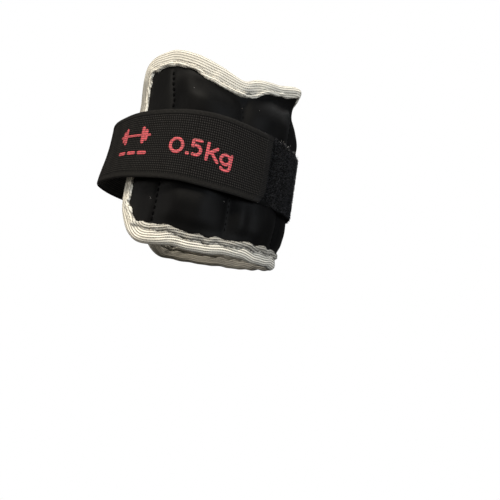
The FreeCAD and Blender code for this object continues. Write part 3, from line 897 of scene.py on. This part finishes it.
def tape_mesh(name, where):
    """The tape over the stretch of edge given by indices, wrapped from face to face."""
    calm, gather, low, width = (values[:, None] for values in tape_run(where))
    along = ALONG[where][:, None]
    x = np.linspace(1, 0, FACE_COLS)  # 1 at the tape's inner edge, 0 at the fold
    fold = np.linspace(0, np.pi, FOLD_COLS + 2)[1:-1]
    outside = FOLD_DEPTH + (width - FOLD_DEPTH) * x
    around = FOLD_DEPTH - FOLD_DEPTH * np.sin(fold) + 0 * width
    inside = FOLD_DEPTH + (width - 1.0 - FOLD_DEPTH) * x[::-1]
    depth = np.concatenate([outside, around, inside], 1)
    points = EDGE[where][:, None] + INWARD[where][:, None] * depth[..., None]
    angle, z = points[..., 0] / DEG_MM, points[..., 1]
    cover, lining = bound_layers(angle, z)[1:]
    # length round the tape's section, for the weave
    start = 11.0 + 0.6 * calm * drift_ripple(along)
    at_fold = start - FOLD_DEPTH
    past_fold = at_fold + np.pi * FOLD_DEPTH
    sections = [start - outside, at_fold + FOLD_DEPTH * fold, past_fold + (inside - FOLD_DEPTH)]
    arc = np.concatenate(sections, 1)
    along = along + 0 * depth
    lift = tape_lift(along, depth, angle, z, arc, calm, gather, low, width)

    fold_start, fold_end = FACE_COLS, FACE_COLS + FOLD_COLS
    radius = np.empty_like(depth)
    radius[:, :fold_start] = (cover + lift)[:, :fold_start]
    radius[:, fold_end:] = (lining - lift)[:, fold_end:]
    top = radius[:, fold_start - 1 : fold_start]
    bottom = radius[:, fold_end : fold_end + 1]
    radius[:, fold_start:fold_end] = (top + bottom) / 2 + (top - bottom) / 2 * np.cos(fold)[None]
    # tuck both inner edges into the cloth
    radius[:, 0] = cover[:, 0] - 0.5
    radius[:, -1] = lining[:, -1] + 0.5

    rows, cols = depth.shape
    row = np.arange(rows) * cols
    sharp = np.concatenate([np.stack([row[:-1] + c, row[1:] + c], 1) for c in (0, cols - 1)])
    return write_mesh(
        name, xyz(angle, z, radius).reshape(-1, 3), [tube_faces(rows, cols)[:, ::-1]],
        np.stack([along, arc], -1).reshape(-1, 2), BINDING, sharp,
        # painted shade and shadow on the tape, per vertex
        painted_shade=tape_painted_shade(depth, angle, z, low, width),
    )


def tape_stitches(name, where):
    """The lock stitch that runs along the tape's inner edge."""
    edge, inward, along = EDGE[where], INWARD[where], ALONG[where]
    gather, low, width = tape_run(where)[1:]
    arch = np.array([-0.15, 0.12, 0.18, 0.12, -0.15])
    parts = []
    for middle in np.arange(along[0] + 1.5, along[-1] - 1.5, 3.1):
        run, z = interp_pairs([middle], along, edge)[0]
        if 31 < z < 80 and abs(run / DEG_MM) > 116:
            continue  # none up the two ends, at the strap's height
        at = np.linspace(middle - 1.0, middle + 1.0, 5)
        low_at = np.interp(at, along, low)
        depth = np.interp(at, along, width) - 2.35 - 1.3 * low_at
        points = interp_pairs(at, along, edge)
        points = points + interp_pairs(at, along, inward) * depth[:, None]
        angle, z = points[:, 0] / DEG_MM, points[:, 1]
        cover = bound_layers(angle, z)[1]
        lift = 0.80 - 0.4 * low_at + pucker(at, depth) * (0.5 + np.interp(at, along, gather))
        parts.append(tube(xyz(angle, z, cover + lift + arch), 0.22, 5))
    return joined(name, parts, PALE_THREAD)


def binding(name, mask, pockets):
    """Tape and stitches over the longest unbroken stretch of the masked edge."""
    where = np.flatnonzero(mask)
    where = max(np.split(where, np.flatnonzero(np.diff(where) != 1) + 1), key=len)
    if where[-1] + 1 < len(EDGE):
        where = np.append(where, where[-1] + 1)
    obj = tape_mesh("binding_" + name, where)
    fit(obj, pockets)
    fit(tape_stitches("binding_stitches_" + name, where), pockets)
    return obj


edge_angle, upper = EDGE[:, 0] / DEG_MM, EDGE[:, 1] > 55
for name, start, end, pockets in ZONES:
    inside = (edge_angle >= start) & (edge_angle < end)
    if len(pockets) == 1:
        tape = binding(name, inside, pockets)
    else:
        tape = binding("top_" + name, inside & upper, pockets)
        binding("low_" + name, inside & ~upper, pockets)
    replace_panel(name, "edge_binding", "binding")

# ---------------------------------------------------------------- channel stitches
# stand of each stitch off the cloth, from end to end
END_ARCH = np.array([-0.6, -0.25, -0.15, -0.15, -0.25, -0.6])
CHANNEL_ARCH = np.array([-0.62, -0.14, 0.0, 0.0, -0.14, -0.62])


def seam_stitches(k, centre):
    """Seam k, from the lateral end; seams 1 and 6 are the end lines."""
    rng = np.random.default_rng(50 + k)
    end_line = k in (1, 6)
    arch, radius = (END_ARCH, 0.78) if end_line else (CHANNEL_ARCH, 0.28)
    parts = []
    for start in np.arange(z_low(centre) + 12.5, z_top(centre) - 10.9 - 2.4, 3.3):
        z = np.linspace(start + 0.45, start + 2.45, 6)
        line = stitch_angle(z, np.sign(centre)) if end_line else np.full(6, centre)
        angle = line + rng.normal(0, 0.12) / DEG_MM
        cover, lining = pad_layers(angle, z)[1:]
        parts.append(tube(xyz(angle, z, cover + arch), radius, 8, up=(1, 0, 0)))
        parts.append(tube(xyz(angle, z, lining - arch), 0.40, 6, up=(1, 0, 0)))
    obj = joined("stitches_channel_%d" % k, parts, BLACK_THREAD)
    fit(obj, [pocket for pocket in (k - 1, k) if 1 <= pocket <= 5])
    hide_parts("channel_stitching_%d" % k)


for k, centre in enumerate([-STITCH_LINE] + CHANNELS + [STITCH_LINE], start=1):
    seam_stitches(k, centre)

# ---------------------------------------------------------------- loop tape
LOOP_START, LOOP_END = -92.5, 84.0
PILE_DENSITY = 1.55  # arches per square mm
loop_ripple = Ripple(41, 6, 16)
pile_rng = np.random.default_rng(77)


def loop_radius(angle):
    dip = 0.0
    for channel in CHANNELS:
        dip = dip + 0.55 * bell(angle * DEG_MM, channel * DEG_MM, 3.0)
    return 58.05 - dip + front_swell(angle, 56.0) + 0.9 * bell(angle, -16, 20)


def loop_backing(name, start, end):
    cols = max(4, int((end - start) * DEG_MM / 0.8))
    line = np.linspace(start, end, cols)[:, None]
    middle = ease(40, 0, line)
    low = 36.2 - 2.2 * ease(-62, -50, line) * middle + 0.25 * loop_ripple(line * DEG_MM)
    high = 75.8 - 1.0 * ease(-52, -40, line) * middle + 0.25 * loop_ripple(line * DEG_MM + 70)
    z = low + (high - low) * np.linspace(0, 1, 52)[None]
    angle = np.repeat(line, 52, 1)
    rim = np.minimum(z - low, high - z)
    radius = loop_radius(angle) - 0.5 * ease(0.9, 0.0, rim)
    radius = radius + 0.05 * loop_ripple(angle * DEG_MM * 3, z * 3)
    inner = np.minimum(pad_layers(angle, z)[1] - 0.3, radius - 0.4)
    uv = np.stack([angle * DEG_MM, z], -1)
    return plate("loop_tape_" + name, xyz(angle, z, radius), xyz(angle, z, inner), uv, LOOP)


def loop_pile(name, start, end):
    """Little arches of yarn standing on the tape."""
    count = int((end - start) * DEG_MM * 39.0 * PILE_DENSITY)
    lowest = 36.4 - 2.2 * (-57 < start < 19)
    angle = pile_rng.uniform(start, end, count)[:, None]
    z = pile_rng.uniform(lowest, 75.2, count)[:, None]
    under = (angle < -47.0) & (angle > -92.0)  # flattened beneath the strap's free end
    tall = np.where(under, 0.06, pile_rng.uniform(0.25, 0.85, count)[:, None])
    heading = pile_rng.uniform(0, np.pi, count)[:, None]
    span = pile_rng.uniform(0.35, 0.9, count)[:, None]
    lean = pile_rng.normal(0, 0.3, (count, 2))
    step = np.array([-1.0, -0.5, 0.5, 1.0])
    rise = np.array([-0.1, 0.85, 0.85, -0.1]) * tall
    angle = angle + (np.cos(heading) * span * step + lean[:, :1] * rise) / DEG_MM
    z = z + np.sin(heading) * span * step + lean[:, 1:] * rise
    angle, z = np.clip(angle, start, end), np.clip(z, 33.7, 76.0)
    radius = loop_radius(angle) + rise
    half = 0.085
    aside, aloft = -np.sin(heading) * half / DEG_MM, np.cos(heading) * half
    return yarns(
        "loop_pile_" + name,
        xyz(angle + aside, z + aloft, radius),
        xyz(angle, z, radius + 0.13),
        xyz(angle - aside, z - aloft, radius),
        PILE,
    )


for name, start, end, pockets in ZONES[:-1]:
    start, end = max(start, LOOP_START), min(end, LOOP_END)
    backing = loop_backing(name, start, end)
    fit(backing, pockets)
    replace_panel(name, "loop_tape")
    fit(loop_pile(name, start, end), pockets)

# ---------------------------------------------------------------- strap surface
# Along the strap angles grow from the medial end, past the back at 180, to 311 at the free end.
strap_radius = smooth_table(  # angle, radius of the middle surface
    [
        (100, 54.75), (143, 54.75), (147, 55.1), (155, 56.6), (167, 59.2), (180, 61.4),
        (192, 62.3), (205, 61.6), (217, 60.3), (230, 60.0), (330, 60.0),
    ],
    2.2,
)
strap_low = smooth_table(  # angle, height of the lower edge
    [
        (90, 36), (160, 35.6), (192, 35.2), (219, 36.2), (240, 35.8), (256, 35.8), (264, 35.7),
        (272, 35.0), (282, 34.1), (290, 33.6), (299, 33.4), (307, 33.8), (340, 34),
    ],
    1.5,
)
strap_high = smooth_table(  # angle, height of the upper edge
    [
        (90, 76), (160, 75.6), (200, 74.4), (229, 74.2), (238, 74.3), (245, 74.8), (250, 75.3),
        (261, 75.8), (276, 75.8), (284, 75.6), (292, 75.0), (301, 74.4), (311, 74.3),
        (340, 74.3),
    ],
    1.5,
)
strap_ripple = Ripple(61, 25, 60)


def strap_point(angle, across, lift):
    """across: -20 to 20 from the lower edge; lift: height above the strap's middle surface."""
    low = strap_low(angle) + 0.15 * strap_ripple(angle)
    high = strap_high(angle) + 0.15 * strap_ripple(angle + 60)
    z = low + (high - low) * (across + STRAP_HALF) / (2 * STRAP_HALF)
    flare = 2.6 * bell(angle, 196, 20) * ease(8, -20, across)
    flare = flare - 0.9 * bell(angle, 200, 25) * ease(0, 20, across)
    bow = -0.25 * np.cos(across / STRAP_HALF * np.pi / 2 * 1.6) * bell(angle, 190, 45)
    ripple = 0.12 * strap_ripple(angle * 1.7, across)
    return xyz(angle, z, strap_radius(angle) + flare + bow + ripple + lift)


def strap_length(angle):
    return np.radians(angle) * 60.0


def strap_uv(angle, across):
    return np.stack([strap_length(angle), across], -1)


def tab_end(across):
    """The cut end, with its lower corner rounded off."""
    slant = 0.5 * (across + STRAP_HALF) / (2 * STRAP_HALF)
    cut = 4.4 * ease(-11.5, -21.5, across) ** 1.3
    return 360 - 49.4 + slant - cut + 0.2 * np.sin(across * 1.9)


def strap_plate(name, angle, across, outer, inner, mat):
    outside, inside = strap_point(angle, across, outer), strap_point(angle, across, inner)
    return plate(name, outside, inside, strap_uv(angle, across), mat)


def fit_tab(obj):
    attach(obj, "strap_tab")


# ---------------------------------------------------------------- strap pieces
STRAP_TURN = 217.0  # hinge between the lateral back and the side
STRAP_TAB = 264.0  # hinge between the side and the free end
# name, first angle, last angle, bodies, hinge angle, CAD piece it replaces
STRAP_PIECES = [
    ("strap_root", 118.0, 161.0, ["pocket_5", "strap_back_medial"], 142.3, "strap_anchor"),
    (
        "strap_behind_heel", 161.0, 198.0,
        ["strap_back_medial", "strap_back_lateral"], 180.0, "strap_back_medial",
    ),
    (
        "strap_lateral", 198.0, 240.0,
        ["strap_back_lateral", "strap_side"], STRAP_TURN, "strap_back_lateral",
    ),
    ("strap_over_pocket", 240.0, 288.0, ["strap_side", "strap_tab"], STRAP_TAB, "strap_side"),
    ("strap_free_end", 288.0, 312.0, ["strap_tab"], None, "strap_tab"),
]


def fit_strap(obj, bodies, hinge):
    if hinge is None:
        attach(obj, bodies[0])
    else:
        bend(obj, float(strap_radius(hinge)))


def strap_piece(name, start, end):
    rows = int((end - start) * 1.05 / 0.55)
    margin = np.linspace(18.6, STRAP_HALF, 7)
    across = np.concatenate([-margin[:0:-1], np.linspace(-18.6, 18.6, 64), margin[1:]])
    finish = tab_end(across) if name == "strap_free_end" else end + 0 * across
    angle = start + (finish - start)[None] * np.linspace(0, 1, rows)[:, None]
    across = np.repeat(across[None], rows, 0)
    edge = np.clip((np.abs(across) - 18.9) / 1.1, 0, 1)
    half = STRAP_FACE * np.sqrt(np.clip(1 - edge**2, 0.02, 1))
    half = half + 0.10 * (np.abs(across) > 17.0) * (1 - edge)
    rib = 0.07 * np.sin(strap_length(angle) * 2 * np.pi / STRAP_RIB) * (np.abs(across) < 17.2)
    return strap_plate(name, angle, across, half + rib, -half, STRAP)


def end_band():
    """The folded band over the strap's cut end."""
    across = np.linspace(-19.6, 19.6, 60)
    part = np.linspace(0, 1, 14)[:, None]
    angle = (tab_end(across) + 0.4 - 4.4)[None] + 4.4 * part
    across = np.repeat(across[None], 14, 0)
    crown = 0.42 * np.sqrt(np.clip(1 - (2 * part - 1) ** 8, 0, 1))
    outer = 0.75 + crown * 0.9 + 0.05 * np.sin(across * 2 * np.pi / 1.3)
    obj = strap_plate("strap_end_band", angle, across, outer, -0.55, END_BAND)
    fit_tab(obj)
    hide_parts("tab_end_band")


def hook_tape():
    """The sheet of hooks under the free end."""
    angle = np.linspace(-94.0, -51.8, 60) + 360
    angle, across = np.meshgrid(angle, np.linspace(-19.6, 19.0, 50), indexing="ij")
    body = strap_plate("hook_tape_body", angle, across, -0.82, -1.25, HOOK)

    columns, rows = np.arange(-93.2, -50.2, 1.25), np.arange(-18.6, 18.6, 1.3)
    angle, across = np.meshgrid(columns, rows, indexing="ij")
    angle, across = angle.ravel()[:, None] + 360, across.ravel()[:, None]
    # one hook's side view: mm along the strap, lift
    x, lift = np.array([[0, -1.2], [0.02, -1.45], [0.35, -1.62], [0.75, -1.5]]).T
    hooks = yarns(
        "hook_tape_hooks",
        strap_point(angle + x / DEG_MM, across - 0.16, lift),
        strap_point(angle + (x + 0.26) / DEG_MM, across, lift),
        strap_point(angle + x / DEG_MM, across + 0.16, lift),
        HOOK,
    )
    for obj in (body, hooks):
        fit_tab(obj)
    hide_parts("hook_tape")


for name, start, end, bodies, hinge, replaced in STRAP_PIECES:
    piece = strap_piece(name, start, end)
    fit_strap(piece, bodies, hinge)
    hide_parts(replaced)
end_band()
hook_tape()


# ---------------------------------------------------------------- strap seams
def stitch_run(points):
    """Stitches along a polyline of (angle, across)."""
    points = np.array(points, float)
    along = distances(strap_uv(points[:, 0], points[:, 1]))
    length, pitch = 1.9, 2.6
    arch = np.array([-0.18, 0.08, 0.12, 0.08, -0.18])
    parts = []
    for start in np.arange(0.3, along[-1] - length, pitch):
        angle, across = interp_pairs(np.linspace(start, start + length, 5), along, points).T
        path = strap_point(angle, across, STRAP_FACE + arch)
        parts.append(tube(path, 0.17, 5, up=(0.3, 0.2, 1)))
    return parts


def square(start, end, low, high):
    return [(start, low), (end, low), (end, high), (start, high), (start, low)]


hook_seam = stitch_run(square(360 - 92.5, 360 - 57.0, -18.4, 18.2))
hook_seam = joined("stitches_hook_tape", hook_seam, STRAP_THREAD)
fit_tab(hook_seam)
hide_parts("hook_tape_seam")

ROOT_BOX = (120.5, 139.0, -16.8, 16.8)
box_start, box_end, box_low, box_high = ROOT_BOX
root_seam = stitch_run(square(*ROOT_BOX))
root_seam += stitch_run([(box_start, box_low), (box_end, box_high)])
root_seam += stitch_run([(box_start, box_high), (box_end, box_low)])
root_seam = joined("stitches_strap_root", root_seam, STRAP_THREAD)
fit(root_seam, (5,))
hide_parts("anchor_seam")


# ---------------------------------------------------------------- printing on the strap
def stroke(points, width, closed=False):
    """Middle line, side directions and half widths of a ribbon through (x, y) points in mm."""
    line = np.array(points, float)
    if closed:
        line = np.concatenate([line, line[:1]])
    along = distances(line)
    count = max(3, int(along[-1] / 0.35) + 1)
    line = interp_pairs(np.linspace(0, along[-1], count), along, line)
    tangent = np.gradient(line, axis=0)
    tangent /= np.linalg.norm(tangent, axis=1)[:, None] + 1e-9
    normal = np.stack([-tangent[:, 1], tangent[:, 0]], 1)
    half = np.full(count, width / 2)
    if not closed:  # round caps
        reach = width / 2 * np.array([[1.0], [0.85], [0.5]])
        line = np.concatenate(
            [line[0] - tangent[0] * reach, line, line[-1] + tangent[-1] * reach[::-1]]
        )
        normal = np.concatenate([[normal[0]] * 3, normal, [normal[-1]] * 3])
        taper = np.array([0.12, 0.53, 0.87]) * width / 2
        half = np.concatenate([taper, half, taper[::-1]])
    return line, normal, half


def printed(name, strokes, origin_angle, origin_across):
    """Each stroke becomes a thin conforming film. x runs along growing angles, y up."""
    parts = []
    for i, (line, normal, half) in enumerate(strokes):
        side = half[:, None] * np.array([-1.0, -0.5, 0.0, 0.5, 1.0])
        x = line[:, None, 0] + normal[:, None, 0] * side
        y = line[:, None, 1] + normal[:, None, 1] * side
        angle = 360 + origin_angle + np.degrees(x / 60.8)
        across = origin_across + y
        # neighbouring strokes differ slightly in height where they overlap
        outer = strap_point(angle, across, STRAP_FACE + 0.11 + 0.006 * (i % 5))
        inner = strap_point(angle, across, 0.72)
        uv = strap_uv(angle, across).reshape(-1, 2)
        points = np.concatenate([outer.reshape(-1, 3), inner.reshape(-1, 3)])
        parts.append((points, [sheet_faces(*x.shape)[0]], np.concatenate([uv, uv])))
    return joined(name, parts, INK)


def arc(centre_x, centre_y, radius_x, radius_y, start, end, count=28):
    turns = np.radians(np.linspace(start, end, count))
    return [
        (centre_x + radius_x * math.cos(turn), centre_y + radius_y * math.sin(turn))
        for turn in turns
    ]


def figure():
    """0.5 kg in plain rounded strokes, starting at x = 0."""
    digit, letter = 1.75, 1.65  # stroke widths
    five_bowl = arc(15.0, 3.2, 2.7, 2.6, 125, -118, 30)
    g_tail = arc(31.9, -1.6, 2.6, 2.0, 0, -150, 16)
    return [
        stroke(arc(4.4, 4.6, 3.4, 3.7, 0, 360, 60)[:-1], digit, closed=True),
        stroke([(10.6, 0.8), (10.9, 0.8)], 1.9),
        stroke([(17.6, 8.5), (13.5, 8.5), (13.2, 5.2)] + five_bowl, digit),
        stroke([(21.6, 8.3), (21.2, -0.2)], digit),
        stroke([(26.6, 6.2), (22.0, 3.0)], digit),
        stroke([(23.4, 3.9), (27.2, -0.5)], digit),
        stroke(arc(31.6, 2.1, 2.6, 2.5, 0, 360, 40)[:-1], letter, closed=True),
        stroke([(34.9, 4.8), (34.5, -1.6)] + g_tail, letter),
    ]


def pictogram():
    """A plain hand weight over three short bars."""
    bar_y = 15.6
    strokes = [stroke([(0.8, bar_y), (24.2, bar_y)], 1.3)]
    # x, half height, width of the upright discs
    for x, half, width in ((5.7, 3.9, 2.3), (19.3, 3.9, 2.3), (3.4, 2.4, 2.1), (21.6, 2.4, 2.1)):
        strokes.append(stroke([(x, bar_y - half), (x, bar_y + half)], width))
    for start, end in ((2.2, 6.6), (10.2, 14.6), (18.2, 22.6)):
        strokes.append(stroke([(start, 5.0), (end, 5.0)], 2.0))
    return strokes


weight_print = printed("print_weight_figure", figure(), -105.6, 14.6 - STRAP_HALF)
fit_strap(weight_print, ["strap_side", "strap_tab"], STRAP_TAB)
symbol_print = printed("print_pictogram", pictogram(), -140.5, 9.4 - STRAP_HALF)
fit_strap(symbol_print, ["strap_back_lateral", "strap_side"], STRAP_TURN)

# ---------------------------------------------------------------- lint
lint_rng = np.random.default_rng(91)


def fibres(name, count, pockets, place, surface, length, curl):
    """Short pale fibres. place draws an angle and height; surface gives the radius there."""
    parts = []
    part = np.linspace(0, 1, 7)
    for _ in range(count):
        angle, z = place()
        size = lint_rng.uniform(*length)
        heading = lint_rng.uniform(0, 2 * np.pi)
        turn = heading + lint_rng.normal(0, curl) * part
        angle = angle + np.cos(turn) * part * size / DEG_MM
        z = z + np.sin(turn) * part * size
        radius = surface(angle, z) + 0.25 * np.sin(part * np.pi)
        parts.append(tube(xyz(angle, z, radius), 0.045, 4))
    fit(joined(name, parts, LINT), pockets)


def above_or_below(angles, above, below):
    """Draws an angle, and a height from one of two ranges."""
    draw = lint_rng.uniform
    return draw(*angles), lint_rng.choice([draw(*above), draw(*below)])


def on_cover(angle, z):
    return pad_layers(angle, z)[1] + 0.05


fibres(
    "lint_rear", 2, (1,), lambda: above_or_below((-124, -96), (84, 100), (14, 30)),
    on_cover, length=(0.8, 1.8), curl=1.2,
)
fibres(
    "lint_front_lateral", 3, (1, 2), lambda: above_or_below((-86, -50), (80, 92), (12, 30)),
    on_cover, length=(0.6, 1.6), curl=1.2,
)
fibres(
    "lint_loop", 34, (2, 3),
    lambda: (lint_rng.uniform(-44, -4), 75.0 + lint_rng.normal(0, 0.7)),
    lambda angle, z: loop_radius(angle) + 0.45, length=(0.4, 1.1), curl=1.5,
)


# ---------------------------------------------------------------- weight bags and shot
def filling(name, k, inset, mat, seed):
    """A closed cushion inside pocket k, taken in from the cloth."""
    half = 19.3 - inset * 0.7
    cols, rows = 40, 80
    x = np.sin(np.linspace(-np.pi / 2, np.pi / 2, cols))[:, None]
    y = np.sin(np.linspace(-np.pi / 2, np.pi / 2, rows))[None]
    line = POCKETS[k - 1] + half * x
    high, low = z_top(line) - 15.5 - inset, z_low(line) + 10.5 + inset
    z = (high + low) / 2 + (high - low) / 2 * y
    angle = np.repeat(line, rows, 1)
    mid, cover, lining = pad_layers(angle, z)
    rounding = np.clip(1 - np.abs((angle - POCKETS[k - 1]) / half) ** 6, 0, 1)
    rounding = (rounding * np.clip(1 - np.abs(y) ** 10, 0, 1)) ** 0.5
    out = np.maximum(cover - 1.9 - mid - inset, 0.12) * rounding + 0.02
    out = out * (1 - 0.05 * (1 + Ripple(seed, 6, 18)(angle * DEG_MM, z)))
    back = np.maximum(mid - lining - 1.9 - inset, 0.12) * rounding + 0.02
    uv = np.stack([angle * DEG_MM, z], -1)
    return plate(name, xyz(angle, z, mid + out), xyz(angle, z, mid - back), uv, mat)


# name, inset, material, first seed, slot, CAD piece
FILLINGS = (
    ("bag", 0.15, BAG, 100, "weight_bag", "weight_bag"),
    ("shot", 0.8, SHOT, 200, "iron_shot", "shot_fill"),
)
for k in range(1, 6):
    for name, inset, mat, seed, slot, replaced in FILLINGS:
        cushion = filling("%s_%d" % (name, k), k, inset, mat, seed + k)
        fit(cushion, (k,))
        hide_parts("%s_%d" % (replaced, k))

# ---------------------------------------------------------------- carried-over CAD pieces
for name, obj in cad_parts.items():
    mat = {"weight_bag": BAG, "shot_fill": SHOT}.get(name[:-2], BLACK_THREAD)
    obj.data.materials.clear()
    obj.data.materials.append(mat)
    if obj.data.uv_layers.get("UVMap") is None:
        obj.data.uv_layers.new(name="UVMap")


# ---------------------------------------------------------------- stage
def floor_material():
    """Pale and fading to white for the camera, dim for other rays, clear from below."""
    mat, graph = new_material("floor_pale")
    nodes = mat.node_tree.nodes
    back = graph.node("ShaderNodeNewGeometry").outputs["Backfacing"]
    clear = graph.node("ShaderNodeBsdfTransparent").outputs[0]
    grain = graph.noise(graph.position(), 60.0)
    graph.finish(colour=graph.mix(grain, (0.86, 0.86, 0.85), (0.89, 0.89, 0.88)), rough=0.9)
    dim = graph.node("ShaderNodeBsdfDiffuse", {0: grey(0.16)}).outputs[0]
    camera_ray = graph.node("ShaderNodeLightPath").outputs["Is Camera Ray"]
    seen = graph.mix_shaders(camera_ray, dim, nodes["Principled BSDF"].outputs[0])
    white = graph.node("ShaderNodeEmission", {0: grey(1)}).outputs[0]
    distance = graph.node("ShaderNodeVectorMath", {0: graph.position()}, operation="LENGTH")
    fade = graph.remap(
        distance.outputs["Value"], 0.16, 0.52, interpolation_type="SMOOTHSTEP"
    )
    wide = graph.mix_shaders(graph.math("MULTIPLY", fade, camera_ray), seen, white)
    graph.put(nodes["Material Output"].inputs[0], graph.mix_shaders(back, wide, clear))
    return mat


def build_floor():
    half, z = 3, -0.0566  # metres
    mesh = bpy.data.meshes.new("floor")
    corners = [(-half, -half, z), (half, -half, z), (half, half, z), (-half, half, z)]
    mesh.from_pydata(corners, [], [(0, 1, 2, 3)])
    floor = bpy.data.objects.new("floor", mesh)
    bpy.context.scene.collection.objects.link(floor)
    mesh.materials.append(floor_material())


def build_world():
    """White to the camera, a dim cool light to everything else."""
    world = bpy.data.worlds.new("studio")
    bpy.context.scene.world = world
    world.use_nodes = True
    graph = Graph(world.node_tree)
    ambient = world.node_tree.nodes["Background"]
    graph.put(ambient.inputs[0], (0.92, 0.96, 1.0))
    graph.put(ambient.inputs[1], 0.115)
    backdrop = graph.node("ShaderNodeBackground", {0: grey(1), 1: 1.0}).outputs[0]
    camera_ray = graph.node("ShaderNodeLightPath").outputs["Is Camera Ray"]
    shader = graph.mix_shaders(camera_ray, ambient.outputs[0], backdrop)
    graph.put(world.node_tree.nodes["World Output"].inputs[0], shader)


def lamp(name, place, size, power, colour=(1, 1, 1)):
    """A disk light aimed at the origin; metres and watts."""
    light = bpy.data.lights.new(name, "AREA")
    light.shape = "DISK"
    light.size = size
    light.energy = power
    light.color = colour
    obj = bpy.data.objects.new(name, light)
    obj.location = place
    obj.rotation_mode = "QUATERNION"
    obj.rotation_quaternion = (Vector((0, 0, 0)) - Vector(place)).to_track_quat("-Z", "Y")
    bpy.context.scene.collection.objects.link(obj)


def build_camera():
    """Off the lateral side, a little below the cuff, looking up along +Y and rolled."""
    yaw, pitch, roll = math.radians(3.3), 0.115, 0.151
    place = (0.0232, -0.2684, -0.0750)
    level = math.cos(pitch)
    forward = Vector((math.sin(yaw) * level, math.cos(yaw) * level, math.sin(pitch)))
    right = Vector((math.cos(yaw), -math.sin(yaw), 0))
    up = right.cross(forward)
    rolled_right = right * math.cos(roll) + up * math.sin(roll)
    rolled_up = -right * math.sin(roll) + up * math.cos(roll)
    lens = bpy.data.cameras.new("camera")
    camera = bpy.data.objects.new("camera", lens)
    bpy.context.scene.collection.objects.link(camera)
    lens.sensor_width = 36.0
    lens.lens = 28.8
    lens.clip_start = 0.01
    rows = [(rolled_right[i], rolled_up[i], -forward[i], place[i]) for i in range(3)]
    camera.matrix_world = Matrix((*rows, (0, 0, 0, 1)))
    bpy.context.scene.camera = camera


build_floor()
build_world()
lamp("key", (-0.42, -0.78, 0.85), size=0.45, power=17.5, colour=(1.0, 0.94, 0.83))
lamp("low_fill", (-0.95, -0.18, -0.05), size=0.4, power=5.4, colour=(1.0, 0.97, 0.92))
lamp("top_fill", (0.35, 0.25, 1.0), size=0.9, power=5.0)
lamp("side_fill", (0.72, -0.92, 0.10), size=0.6, power=11.5, colour=(0.88, 0.94, 1.0))
build_camera()
bpy.context.scene.view_settings.view_transform = "Standard"
bpy.context.scene.view_settings.look = "None"
